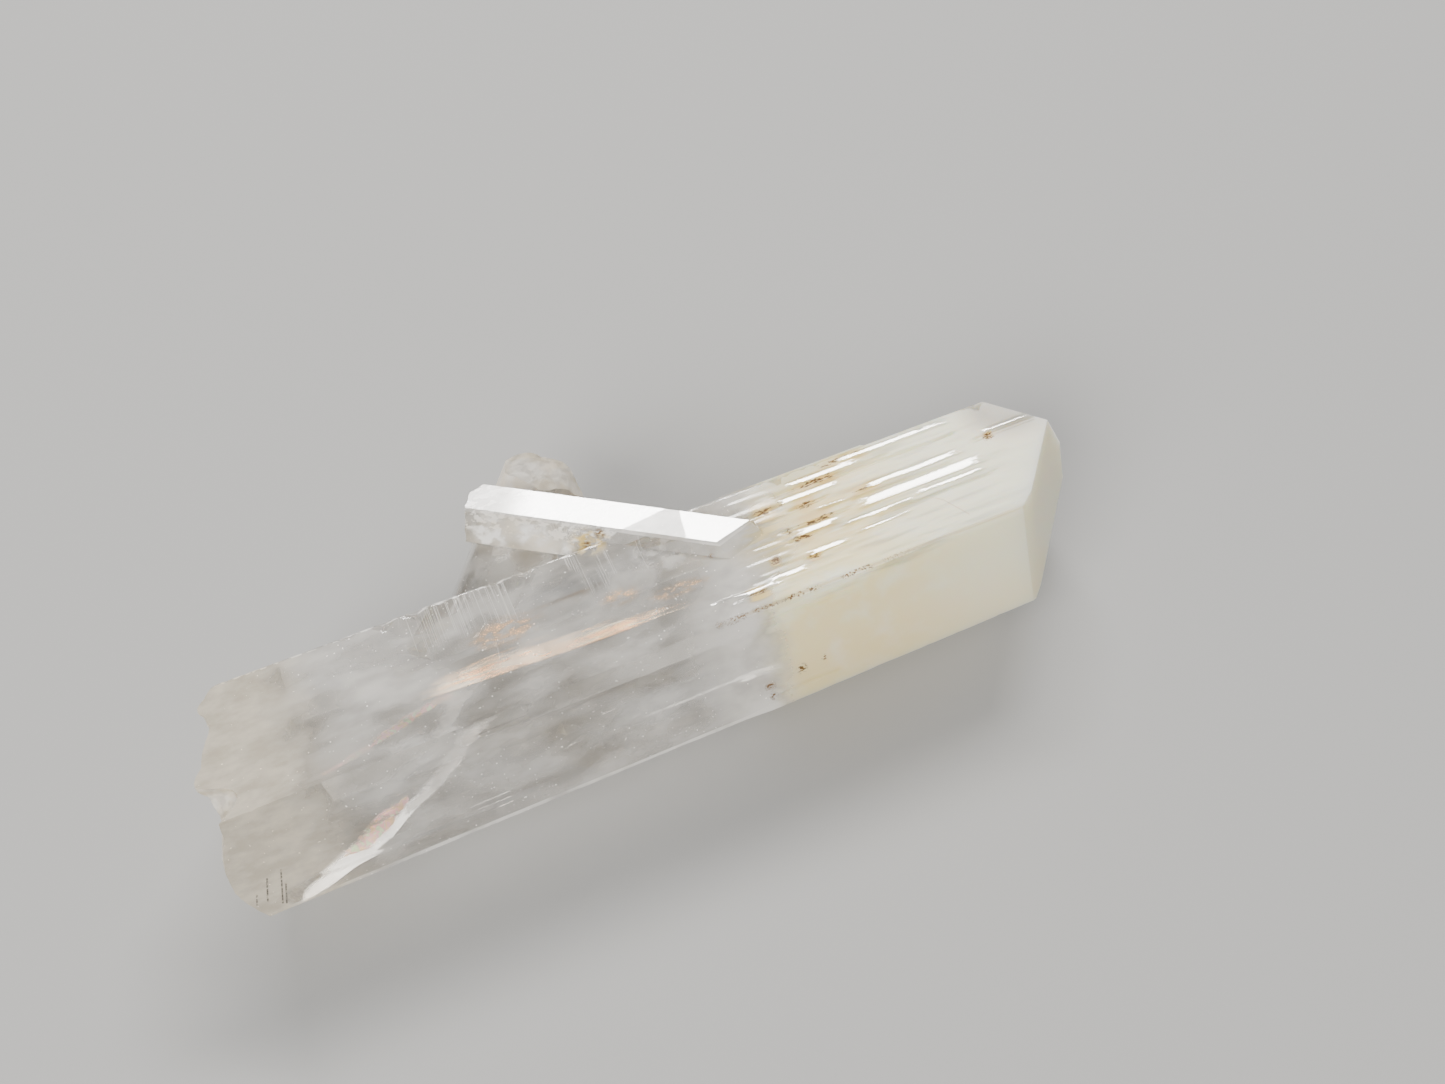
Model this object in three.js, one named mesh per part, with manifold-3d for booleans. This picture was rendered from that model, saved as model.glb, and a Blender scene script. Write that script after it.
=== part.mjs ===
// A mango quartz crystal: one long six-sided prism lying on a prism face, with a narrow
// blade-like crystal grown through its back top edge and a short stub of a third crystal
// behind that. All three grew together, so they are one solid.
// Millimetres, +Z up. The main crystal's long axis runs along +X, from its broken base to
// its terminated end, and the origin lies in the middle of the face that it rests on.

import * as THREE from "three";
import { mergeVertices } from "three/addons/utils/BufferGeometryUtils.js";
import Module from "manifold-3d";

const wasm = await Module();
wasm.setup();

// ---- Driving dimensions ------------------------------------------------------------

const DEGREE = Math.PI / 180;

// Main crystal.
const TOP_FACE = 7.4; // width of the top and bottom prism faces
const SIDE_FACE = 6.4; // width of each of the four slanting prism faces
const BASE_X = -24.0; // furthest reach of the broken base
const SHOULDER_X = 21.9; // where the upper front face meets the termination
const TIP_X = 28.0; // blunt end of the termination
const HEIGHT = 2 * SIDE_FACE * Math.sin(60 * DEGREE);
const MIDDLE_Z = HEIGHT / 2;
const HALF_TOP = TOP_FACE / 2;
const HALF_WIDTH = HALF_TOP + SIDE_FACE * Math.cos(60 * DEGREE);
const FRONT_GROWTH = 0.1; // the upper front face grew this much further out than the rest

// Growth layer on the upper front face: it starts with a step where the milky part begins.
const LAYER_START_X = 4.4;
const LAYER_THICKNESS = 0.22; // where it starts; it thins out to nothing at the shoulder

// Blade crystal: it crosses the back top edge at a flat angle.
const BLADE_TURN = -33.7 * DEGREE; // its axis, turned from the main axis in plan
const BLADE_TOP_Z = HEIGHT + 0.8;
const BLADE_WAIST_Z = BLADE_TOP_Z - 1.82;
const BLADE_BOTTOM_Z = 7.2;
const BLADE_TOP_FACE = [3.2, 4.96]; // front and back edge, measured across its axis
const BLADE_WAIST = [2.15, 6.01];
const BLADE_BOTTOM = [3.7, 4.45];
const BLADE_LENGTH = [-10.1, 8.5]; // from its broken end to its hidden root
const BLADE_TIP = 3.75; // where its top face ends at the front

// Stub crystal: it rises backwards out of the main crystal.
const STUB_ROOT = new THREE.Vector3(-6.2, 7.4, 4.4);
const STUB_TIP = new THREE.Vector3(-0.9, 12.55, 7.4);
const STUB_TOP_FACE = 2.6;
const STUB_SIDE_FACE = 3.1;
const STUB_ROOT_DEPTH = 7.0; // how far it runs back inside the main crystal
const STUB_FLOOR_Z = 0.5; // it stops short of the plane that the main crystal rests on

// Broken surfaces are laid out on a grid of this spacing.
const GRAIN = 0.8;

// ---- Solids ------------------------------------------------------------------------

function toSolid(geometry) {
  const bare = geometry.clone();
  bare.deleteAttribute("normal");
  bare.deleteAttribute("uv");
  const merged = mergeVertices(bare, 1e-4);
  return new wasm.Manifold(
    new wasm.Mesh({
      numProp: 3,
      vertProperties: new Float32Array(merged.attributes.position.array),
      triVerts: new Uint32Array(merged.index.array),
    })
  );
}

function toGeometry(solid) {
  const mesh = solid.getMesh();
  const geometry = new THREE.BufferGeometry();
  geometry.setAttribute("position", new THREE.BufferAttribute(mesh.vertProperties, 3));
  geometry.setIndex(new THREE.BufferAttribute(mesh.triVerts, 1));
  geometry.computeVertexNormals();
  return geometry;
}

// A frame whose local z runs along direction and whose local y lies as near to up as it can.
function frameAlong(origin, direction, up) {
  const along = direction.clone().normalize();
  const across = new THREE.Vector3().crossVectors(up, along).normalize();
  const raised = new THREE.Vector3().crossVectors(along, across);
  return new THREE.Matrix4().makeBasis(across, raised, along).setPosition(origin);
}

// A straight bar with the outline given as [across, up] points, between two stations.
function bar(outline, from, to, frame) {
  const shape = new THREE.Shape(outline.map(([across, up]) => new THREE.Vector2(across, up)));
  const geometry = new THREE.ExtrudeGeometry(shape, { depth: to - from, bevelEnabled: false });
  geometry.translate(0, 0, from);
  geometry.applyMatrix4(frame);
  return toSolid(geometry);
}

// Everything on the far side of a plane is taken off.
function cutBeyond(solid, normal, point) {
  const size = 80;
  const geometry = new THREE.BoxGeometry(size, size, size);
  geometry.translate(0, 0, size / 2);
  const helper = Math.abs(normal.x) > 0.9 ? new THREE.Vector3(0, 1, 0) : new THREE.Vector3(1, 0, 0);
  geometry.applyMatrix4(frameAlong(point, normal, helper));
  return solid.subtract(toSolid(geometry));
}

// A broken surface: the solid is cut back to depth(across, up) along the frame's z axis.
function breakOff(solid, width, height, depth, frame) {
  const behind = 12;
  const columns = Math.round(width / GRAIN);
  const rows = Math.round(height / GRAIN);
  const geometry = new THREE.BoxGeometry(width, height, behind, columns, rows, 1);
  const position = geometry.attributes.position;
  for (let i = 0; i < position.count; i++) {
    const isFace = position.getZ(i) < 0;
    const across = position.getX(i);
    const up = position.getY(i);
    position.setZ(i, isFace ? depth(across, up) : behind);
  }
  geometry.applyMatrix4(frame);
  return solid.subtract(toSolid(geometry));
}

// A low rounded lump for the broken surfaces: positive heights stand proud.
function lump(across, up, [centreAcross, centreUp, radius, height]) {
  const distance = Math.hypot(across - centreAcross, up - centreUp) / radius;
  return distance < 1 ? height * Math.cos((distance * Math.PI) / 2) : 0;
}

// Fine irregular relief from a few crossing waves.
function ripple(across, up, pitch) {
  const a = Math.sin((across * 1.7 + up * 0.9) / pitch + 0.4);
  const b = Math.sin((up * 2.1 - across * 0.8) / pitch + 1.9);
  const c = Math.sin((across * 3.3 + up * 2.7) / pitch);
  return (a + b + 0.6 * c) / 2.6;
}

// A flat-sided flake, for chips struck out of edges and small lumps grown on faces.
function flake(centre, size, turn) {
  const geometry = new THREE.IcosahedronGeometry(1, 0);
  geometry.scale(size[0], size[1], size[2]);
  geometry.rotateZ(turn);
  geometry.rotateX(turn * 1.7);
  geometry.translate(centre[0], centre[1], centre[2]);
  return toSolid(geometry);
}

// A growth ledge along the main axis: a long low bar with sloping sides and ends. It lies on
// the face whose outward normal is given, centred on the line through centre.
function ledge(centre, normal, length, width, rise) {
  const geometry = new THREE.BoxGeometry(length, width, 2 * rise);
  const position = geometry.attributes.position;
  for (let i = 0; i < position.count; i++) {
    if (position.getZ(i) > 0) {
      position.setX(i, position.getX(i) * (1 - Math.min(0.3, (4 * rise) / length)));
      position.setY(i, position.getY(i) * 0.6);
    }
  }
  const along = new THREE.Vector3(1, 0, 0);
  const across = new THREE.Vector3().crossVectors(normal, along);
  const frame = new THREE.Matrix4().makeBasis(along, across, normal).setPosition(centre);
  geometry.applyMatrix4(frame);
  return toSolid(geometry);
}

// ---- Directions --------------------------------------------------------------------

const UP = new THREE.Vector3(0, 0, 1);
const ALONG = new THREE.Vector3(1, 0, 0);
const MAIN_FRAME = frameAlong(new THREE.Vector3(), ALONG, UP);

// Outward normal of a prism face, by its angle round the main axis: 0 is back, 90 is up.
function prismNormal(angle) {
  return new THREE.Vector3(0, Math.cos(angle * DEGREE), Math.sin(angle * DEGREE));
}

// A termination face leans from the prism face under it towards the tip.
function terminationNormal(angle, lean) {
  const side = prismNormal(angle).multiplyScalar(Math.sin(lean * DEGREE));
  return side.add(new THREE.Vector3(Math.cos(lean * DEGREE), 0, 0));
}

// ---- Main crystal ------------------------------------------------------------------

// In the main frame local x is the world's +Y, so an outline's first number is y.
function prismOutline(frontShift) {
  const slope = frontShift / Math.sin(60 * DEGREE);
  return [
    [-HALF_TOP, 0],
    [HALF_TOP, 0],
    [HALF_WIDTH, MIDDLE_Z],
    [HALF_TOP, HEIGHT],
    [-HALF_TOP - slope, HEIGHT],
    [-HALF_WIDTH - slope / 2, MIDDLE_Z - frontShift],
  ];
}

function mainPrism() {
  const reach = 6;
  const prism = bar(prismOutline(FRONT_GROWTH), BASE_X - reach, TIP_X + reach, MAIN_FRAME);
  const layerOutline = prismOutline(FRONT_GROWTH + LAYER_THICKNESS);
  const layer = bar(layerOutline, LAYER_START_X, SHOULDER_X, MAIN_FRAME);
  const taper = LAYER_THICKNESS / (SHOULDER_X - LAYER_START_X);
  const outward = prismNormal(150).addScaledVector(ALONG, taper).normalize();
  const shoulder = new THREE.Vector3(SHOULDER_X, -HALF_WIDTH, MIDDLE_Z);
  shoulder.addScaledVector(prismNormal(150), FRONT_GROWTH);
  return prism.add(cutBeyond(layer, outward, shoulder));
}

// Six faces of two slopes and a blunt end, set by where each crosses its prism edge.
function terminate(solid) {
  const shoulder = new THREE.Vector3(SHOULDER_X, -HALF_TOP, HEIGHT);
  const faces = [
    [terminationNormal(150, 58), shoulder],
    [terminationNormal(150, 46), new THREE.Vector3(SHOULDER_X + 3.4, -0.24, HEIGHT)],
    [terminationNormal(30, 49), new THREE.Vector3(SHOULDER_X + 1.6, HALF_TOP, HEIGHT)],
    [terminationNormal(270, 52), new THREE.Vector3(SHOULDER_X + 1.1, 0, 0)],
    [terminationNormal(210, 45), new THREE.Vector3(SHOULDER_X + 0.15, -HALF_WIDTH, MIDDLE_Z)],
    [terminationNormal(330, 50), new THREE.Vector3(SHOULDER_X + 2.6, HALF_WIDTH, MIDDLE_Z)],
    [ALONG, new THREE.Vector3(TIP_X, 0, 0)],
  ];
  return faces.reduce((body, [normal, point]) => cutBeyond(body, normal, point), solid);
}

// Knobs and hollows of the broken base, as [y, z, radius, height].
const BASE_LUMPS = [
  [-0.6, 9.6, 2.2, 0.45],
  [-5.4, 7.6, 3.0, 0.85],
  [3.0, 10.6, 1.6, 0.75],
  [0.9, 6.4, 2.2, -0.9],
  [4.2, 5.6, 2.0, 0.8],
  [-2.6, 3.6, 2.2, 0.7],
  [2.0, 2.2, 1.8, -0.6],
  [-2.8, 10.9, 1.1, -1.3],
  [-1.6, 9.0, 0.9, -1.0],
  [-1.4, 10.9, 0.8, 0.45],
  [2.6, 11.1, 0.5, 0.35],
];

function breakBase(solid) {
  const face = new THREE.Vector3(BASE_X, 0, MIDDLE_Z);
  const frame = frameAlong(face, ALONG.clone().negate(), UP);
  const depth = (across, up) => {
    const y = -across;
    const z = up + MIDDLE_Z;
    const backSlope = 0.05 * Math.max(0, y + 2.5) ** 2 + 0.008 * Math.min(0, y + 2.5) ** 2;
    const underCut = 0.035 * Math.max(0, 8.5 - z) ** 2;
    const knobs = BASE_LUMPS.reduce((sum, one) => sum + lump(y, z, one), 0);
    return -0.45 - backSlope - underCut + knobs + 0.16 * ripple(y, z, 0.9);
  };
  return breakOff(solid, 2 * HALF_WIDTH + 2, HEIGHT + 2, depth, frame);
}

// Growth ledges on the top face, as [from x, to x, y, width, rise]; a negative rise is a
// groove. They run along the axis and lie mostly on the milky half.
const TOP_LEDGES = [
  [7.0, 17.5, 2.05, 0.5, 0.22],
  [9.7, 20.5, 2.75, 0.36, -0.16],
  [9.4, 15.0, 1.3, 0.5, -0.2],
  [8.8, 12.6, 0.1, 0.34, -0.22],
  [9.3, 12.0, -0.32, 0.42, 0.2],
  [8.9, 11.8, -0.9, 0.34, 0.16],
  [9.1, 12.3, -1.6, 0.36, 0.18],
  [9.0, 10.4, -1.98, 0.2, -0.18],
  [6.8, 9.3, -2.3, 0.42, 0.18],
  [2.9, 8.8, -2.75, 0.3, 0.14],
  [12.4, 21.4, -0.75, 0.8, 0.12],
  [14.6, 22.0, 0.55, 0.7, 0.16],
  [21.2, 25.2, 1.35, 0.3, -0.24],
  [12.5, 19.5, -2.3, 0.5, -0.1],
];

// The same on the two upper side faces, as [from x, to x, share down the face, width, rise].
const FRONT_LEDGES = [
  [5.2, 11.0, 0.14, 0.3, -0.1],
  [5.2, 9.5, 0.86, 0.22, -0.1],
];
const BACK_LEDGES = [
  [6.5, 16.0, 0.2, 0.7, 0.16],
  [-17.0, -9.5, 0.55, 0.9, 0.14],
  [9.0, 21.0, 0.6, 0.5, -0.14],
  [-20.0, -13.0, 0.2, 0.5, -0.12],
];

function addLedges(solid) {
  const placed = TOP_LEDGES.map(([from, to, y, width, rise]) => {
    const centre = new THREE.Vector3((from + to) / 2, y, HEIGHT);
    return [centre, UP, to - from, width, rise];
  });
  for (const [angle, side, rows] of [[150, -1, FRONT_LEDGES], [30, 1, BACK_LEDGES]]) {
    for (const [from, to, share, width, rise] of rows) {
      const y = side * (HALF_TOP + share * (HALF_WIDTH - HALF_TOP));
      const z = HEIGHT - share * MIDDLE_Z;
      const centre = new THREE.Vector3((from + to) / 2, y, z);
      const growth = side < 0 ? FRONT_GROWTH + 0.8 * LAYER_THICKNESS : 0;
      centre.addScaledVector(prismNormal(angle), growth);
      placed.push([centre, prismNormal(angle), to - from, width, rise]);
    }
  }
  return placed.reduce((body, [centre, normal, length, width, rise]) => {
    const piece = ledge(centre, normal, length, width, Math.abs(rise));
    return rise > 0 ? body.add(piece) : body.subtract(piece);
  }, solid);
}

// Chips struck out of the prism edges, as [x, size], by the edge they lie on.
const EDGE_CHIPS = {
  backTop: [[-19.2, 0.45], [-16.8, 0.3], [-14.1, 0.35], [-11.6, 0.4], [-9.9, 0.28],
    [-7.2, 0.35], [-5.0, 0.3], [-2.4, 0.32], [3.4, 0.5], [14.6, 0.3], [20.3, 0.35]],
  frontTop: [[-20.2, 0.4], [-12.9, 0.24], [7.8, 0.26], [13.9, 0.3], [18.4, 0.24]],
  front: [[-22.2, 0.4], [-16.4, 0.26], [-0.4, 0.42], [10.8, 0.2], [19.9, 0.4]],
  back: [[-18.5, 0.5], [-12.0, 0.35], [8.5, 0.4], [17.0, 0.5]],
  bottomFront: [[-17.0, 0.35], [3.0, 0.3], [16.0, 0.4]],
  bottomBack: [[-10.0, 0.35], [12.0, 0.4]],
};
const EDGE_PLACES = {
  backTop: [HALF_TOP, HEIGHT],
  frontTop: [-HALF_TOP, HEIGHT],
  front: [-HALF_WIDTH, MIDDLE_Z],
  back: [HALF_WIDTH, MIDDLE_Z],
  bottomFront: [-HALF_TOP, 0],
  bottomBack: [HALF_TOP, 0],
};

function chipEdges(solid) {
  let body = solid;
  for (const [edge, chips] of Object.entries(EDGE_CHIPS)) {
    const [y, z] = EDGE_PLACES[edge];
    chips.forEach(([x, size], i) => {
      body = body.subtract(flake([x, y, z], [size * 2.4, size, size * 0.8], 0.3 * i));
    });
  }
  return body;
}

// The back top edge is worn lower beside the blade, and the tip has two bruises.
function wearDown(solid) {
  let body = solid;
  body = body.subtract(flake([8.2, HALF_TOP + 0.45, HEIGHT + 0.25], [3.6, 0.8, 0.62], 0.02));
  body = body.subtract(flake([TIP_X - 0.2, -1.4, HEIGHT - 3.1], [0.5, 0.7, 0.6], 0.6));
  body = body.subtract(flake([SHOULDER_X + 2.9, 1.75, HEIGHT + 0.12], [1.3, 0.4, 0.4], 0.1));
  return body;
}

function mainCrystal() {
  let solid = mainPrism();
  solid = terminate(solid);
  solid = addLedges(solid);
  solid = chipEdges(solid);
  solid = wearDown(solid);
  solid = breakBase(solid);
  return solid;
}

// ---- Blade crystal -----------------------------------------------------------------

function bladeCrystal() {
  const along = new THREE.Vector3(Math.cos(BLADE_TURN), Math.sin(BLADE_TURN), 0);
  const back = new THREE.Vector3(-Math.sin(BLADE_TURN), Math.cos(BLADE_TURN), 0);
  const frame = frameAlong(new THREE.Vector3(), along, UP);
  const outline = [
    [BLADE_BOTTOM[0], BLADE_BOTTOM_Z],
    [BLADE_BOTTOM[1], BLADE_BOTTOM_Z],
    [BLADE_WAIST[1], BLADE_WAIST_Z],
    [BLADE_TOP_FACE[1], BLADE_TOP_Z],
    [BLADE_TOP_FACE[0], BLADE_TOP_Z],
    [BLADE_WAIST[0], BLADE_WAIST_Z],
  ];
  let solid = bar(outline, BLADE_LENGTH[0] - 3, BLADE_LENGTH[1], frame);

  // The tip's two faces lean down to the front and to the back.
  const place = (station, across, z) =>
    new THREE.Vector3().addScaledVector(along, station).addScaledVector(back, across).setZ(z);
  const frontTip = along.clone().multiplyScalar(0.5).addScaledVector(back, -0.4).add(
    new THREE.Vector3(0, 0, 0.77));
  const backTip = along.clone().multiplyScalar(0.62).addScaledVector(back, 0.6).add(
    new THREE.Vector3(0, 0, 0.5));
  solid = cutBeyond(solid, frontTip, place(BLADE_TIP, BLADE_TOP_FACE[0], BLADE_TOP_Z));
  solid = cutBeyond(solid, backTip, place(BLADE_TIP + 1.6, BLADE_TOP_FACE[1], BLADE_TOP_Z));

  // The free end is broken across, with one corner gone.
  const end = place(BLADE_LENGTH[0], 4.1, BLADE_WAIST_Z);
  const endFrame = frameAlong(end, along.clone().negate(), UP);
  solid = breakOff(solid, 6.4, 6.4, (across, up) => {
    const corner = lump(across, up, [-1.9, 1.9, 1.7, -1.1]);
    return 0.2 - 0.12 * Math.max(0, -up) ** 2 + corner + 0.24 * ripple(across, up, 0.5);
  }, endFrame);

  // A low step on the top face and chips along its front edge.
  const step = new THREE.BoxGeometry(3.4, 1.1, 0.4);
  step.rotateZ(BLADE_TURN + 0.12);
  const stepPlace = place(-8.6, 5.1, BLADE_TOP_Z + 0.05);
  step.translate(stepPlace.x, stepPlace.y, stepPlace.z);
  solid = solid.subtract(toSolid(step));
  for (const [station, size] of [[-9.2, 0.4], [-6.1, 0.22], [-1.2, 0.26], [1.6, 0.3]]) {
    const spot = place(station, BLADE_TOP_FACE[0], BLADE_TOP_Z);
    solid = solid.subtract(flake(spot.toArray(), [size * 1.6, size, size], station));
  }
  return solid;
}

// ---- Stub crystal ------------------------------------------------------------------

function stubCrystal() {
  const axis = new THREE.Vector3().subVectors(STUB_TIP, STUB_ROOT);
  const length = axis.length();
  const frame = frameAlong(STUB_ROOT, axis, new THREE.Vector3(-0.4, -0.3, 1));
  const halfTop = STUB_TOP_FACE / 2;
  const halfWidth = halfTop + STUB_SIDE_FACE * Math.cos(60 * DEGREE);
  const halfHeight = STUB_SIDE_FACE * Math.sin(60 * DEGREE);
  const outline = [
    [-halfTop, -halfHeight],
    [halfTop, -halfHeight],
    [halfWidth, 0],
    [halfTop, halfHeight],
    [-halfTop, halfHeight],
    [-halfWidth, 0],
  ];
  let solid = bar(outline, -STUB_ROOT_DEPTH, length + 3, frame);
  solid = cutBeyond(solid, UP.clone().negate(), new THREE.Vector3(0, 0, STUB_FLOOR_Z));

  // Its end is a rounded, knobby break.
  const endFrame = frame.clone().multiply(new THREE.Matrix4().makeTranslation(0, 0, length));
  const knobs = [[-0.9, 0.6, 1.5, 0.5], [1.4, 0.9, 1.1, -0.5], [0.5, -1.2, 1.3, 0.4]];
  solid = breakOff(solid, 8, 8, (across, up) => {
    const dome = -0.2 * (across + 0.5) ** 2 - 0.16 * up ** 2;
    const bumps = knobs.reduce((sum, one) => sum + lump(across, up, one), 0);
    return 0.7 + dome + bumps + 0.18 * ripple(across, up, 0.6);
  }, endFrame);
  const local = (across, up, station) =>
    new THREE.Vector3(across, up, station).applyMatrix4(frame).toArray();
  solid = solid.subtract(flake(local(-halfWidth, 0.2, length - 1.4), [0.8, 0.5, 0.7], 0.5));
  solid = solid.subtract(flake(local(halfTop, halfHeight, length - 2.6), [0.9, 0.5, 0.4], 0.9));
  return solid;
}

// ---- The whole crystal -------------------------------------------------------------

const solid = mainCrystal().add(bladeCrystal()).add(stubCrystal());

const material = new THREE.MeshStandardMaterial({
  color: 0xdcd2b6,
  roughness: 0.12,
  metalness: 0,
});

const crystal = new THREE.Mesh(toGeometry(solid), material);
crystal.name = "crystal";

const group = new THREE.Group();
group.add(crystal);

export default group;
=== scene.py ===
# %% [markdown]
# # A mango quartz crystal
#
# Mango quartz is clear rock crystal whose last growth took in a cream to mango-yellow mineral.
# This specimen is one long six-sided crystal lying on a prism face, with a narrow blade and a
# short stub grown through its back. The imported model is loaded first, as a fixed frame: it
# gives the true size and place of everything that follows.

# %% Load the frame
import math
import random

import bpy
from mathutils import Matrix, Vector, noise


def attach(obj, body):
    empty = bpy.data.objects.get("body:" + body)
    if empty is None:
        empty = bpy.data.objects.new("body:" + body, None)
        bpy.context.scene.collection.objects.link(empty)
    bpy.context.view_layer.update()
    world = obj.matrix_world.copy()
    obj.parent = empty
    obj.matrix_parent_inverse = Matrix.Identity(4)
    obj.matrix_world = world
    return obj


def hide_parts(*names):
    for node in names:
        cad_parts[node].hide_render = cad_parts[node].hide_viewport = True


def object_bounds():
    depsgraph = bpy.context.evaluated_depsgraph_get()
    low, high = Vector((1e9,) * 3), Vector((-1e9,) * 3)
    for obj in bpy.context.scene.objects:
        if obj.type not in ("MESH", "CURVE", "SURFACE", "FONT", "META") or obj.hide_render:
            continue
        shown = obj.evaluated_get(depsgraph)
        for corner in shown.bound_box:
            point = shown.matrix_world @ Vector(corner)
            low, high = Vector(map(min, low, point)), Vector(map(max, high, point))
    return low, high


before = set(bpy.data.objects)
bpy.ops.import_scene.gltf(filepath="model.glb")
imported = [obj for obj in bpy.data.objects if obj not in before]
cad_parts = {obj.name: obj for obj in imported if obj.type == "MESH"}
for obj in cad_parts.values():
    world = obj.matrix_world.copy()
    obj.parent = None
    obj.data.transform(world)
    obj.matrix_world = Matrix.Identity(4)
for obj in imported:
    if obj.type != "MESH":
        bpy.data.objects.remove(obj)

CAD_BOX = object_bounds()
MM = 0.001
print("solid model, mm:", [[round(v / MM, 2) for v in corner] for corner in CAD_BOX])

# %% [markdown]
# ## The viewpoint
#
# The crystal is looked down on from the front left. The camera is set by the height angle and
# the turn of its line of sight, and by how far it stands from the point that it looks at.

# %% Camera
VIEW_DOWN = math.radians(56.471)
VIEW_TURN = math.radians(24.379)
VIEW_DISTANCE = 84.814 * MM
AIM = Vector((8.441, 7.620, 0.0)) * MM
LENS = 32.39

sight = Vector((
    math.sin(VIEW_TURN) * math.cos(VIEW_DOWN),
    math.cos(VIEW_TURN) * math.cos(VIEW_DOWN),
    -math.sin(VIEW_DOWN),
))
camera_data = bpy.data.cameras.new("viewpoint")
camera_data.lens = LENS
camera_data.sensor_width = 36
camera_data.clip_start = 1 * MM
camera = bpy.data.objects.new("viewpoint", camera_data)
bpy.context.scene.collection.objects.link(camera)
camera.location = AIM - sight * VIEW_DISTANCE
camera.rotation_euler = sight.to_track_quat("-Z", "Y").to_euler()
bpy.context.scene.camera = camera
print("camera at, mm:", [round(v / MM, 1) for v in camera.location])

# %% [markdown]
# ## The table
#
# A clear crystal shows what is behind it, so the table is a plain pale sheet. It lies a hair
# under the crystal: glass that shares a plane with its support flickers, and the thin air gap
# is what makes the real crystal's rest face mirror the light from inside.

# %% Table
AIR_GAP = 0.03 * MM
TABLE_SIZE = 2.4
TABLE_GREY = (0.40, 0.397, 0.39, 1)


def deselect_all():
    if bpy.context.mode != "OBJECT":
        bpy.ops.object.mode_set(mode="OBJECT")
    bpy.ops.object.select_all(action="DESELECT")


def new_material(name):
    material = bpy.data.materials.new(name)
    material.use_nodes = True
    return material, material.node_tree.nodes, material.node_tree.links


deselect_all()
bpy.ops.mesh.primitive_plane_add(size=TABLE_SIZE, location=(0, 0, -AIR_GAP))
table = bpy.context.object
table.name = "table"
table_material, nodes, links = new_material("pale_table")
nodes["Principled BSDF"].inputs["Base Color"].default_value = TABLE_GREY
nodes["Principled BSDF"].inputs["Roughness"].default_value = 0.75
table.data.materials.append(table_material)

# %% [markdown]
# ## The light
#
# One broad window of light stands behind the crystal, a little to the right. It glances off
# the top facets and throws the shadow towards the viewer. A broad sheet of light at the front
# left shows the faces on this side, and a plain pale surround keeps the shadows soft.

# %% Lights


def area_light(name, turn, height, distance, size, power, colour):
    turn, height = math.radians(turn), math.radians(height)
    away = Vector((
        math.sin(turn) * math.cos(height),
        math.cos(turn) * math.cos(height),
        math.sin(height),
    ))
    data = bpy.data.lights.new(name, "AREA")
    data.shape = "RECTANGLE"
    data.size, data.size_y = size
    data.energy = power
    data.color = colour
    lamp = bpy.data.objects.new(name, data)
    bpy.context.scene.collection.objects.link(lamp)
    lamp.location = away * distance
    lamp.rotation_euler = (-away).to_track_quat("-Z", "Y").to_euler()
    return lamp


area_light("window", turn=26, height=49.5, distance=0.50, size=(0.36, 0.065), power=3.0,
           colour=(1.0, 0.98, 0.95))
area_light("left_fill", turn=-125, height=38, distance=0.55, size=(0.34, 0.30), power=4.2,
           colour=(1.0, 0.98, 0.94))

SURROUND_COLOUR = (0.87, 0.90, 0.95, 1)
SURROUND_STRENGTH = 0.38
world = bpy.data.worlds.new("surround")
bpy.context.scene.world = world
world.use_nodes = True
backdrop = world.node_tree.nodes["Background"].inputs
backdrop["Color"].default_value = SURROUND_COLOUR
backdrop["Strength"].default_value = SURROUND_STRENGTH
print("lights:", [light.name for light in bpy.data.lights])

# %% [markdown]
# ## Main crystal: the prism
#
# Quartz grows as a six-sided column. A cylinder with six sides is that column already, once
# it is laid along X. Its front and back halves are then moved apart, because the top and
# bottom faces of this crystal are wider than the four slanting ones. Every face starts a
# little too far out: the real surface is cut into it later.

# %% Prism
TOP_FACE = 7.4 * MM
SIDE_FACE = 6.4 * MM
HEIGHT = 2 * SIDE_FACE * math.sin(math.radians(60))
MIDDLE = HEIGHT / 2
HALF_TOP = TOP_FACE / 2
HALF_WIDTH = HALF_TOP + SIDE_FACE / 2
BASE_X = -24.0 * MM
TIP_X = CAD_BOX[1][0]
SPARE = 0.45 * MM


def pick(piece):
    """Makes a piece the only one that is selected, and the active one."""
    deselect_all()
    piece.select_set(True)
    bpy.context.view_layer.objects.active = piece


def edit_whole():
    bpy.ops.object.mode_set(mode="EDIT")
    bpy.ops.mesh.select_all(action="SELECT")


def extrude_whole(run):
    """Extrudes a flat mesh by the vector run into a closed block."""
    edit_whole()
    bpy.ops.mesh.extrude_region_move(TRANSFORM_OT_translate={"value": run})
    bpy.ops.mesh.select_all(action="SELECT")
    bpy.ops.mesh.normals_make_consistent(inside=False)
    bpy.ops.object.mode_set(mode="OBJECT")


def select_by(piece, kind, test):
    """In edit mode, selects the vertices or faces that pass the test."""
    bpy.ops.mesh.select_mode(type=kind)
    bpy.ops.mesh.select_all(action="DESELECT")
    bpy.ops.object.mode_set(mode="OBJECT")
    parts = {"VERT": piece.data.vertices, "FACE": piece.data.polygons}[kind]
    for part in parts:
        part.select = test(part)
    bpy.ops.object.mode_set(mode="EDIT")


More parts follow.
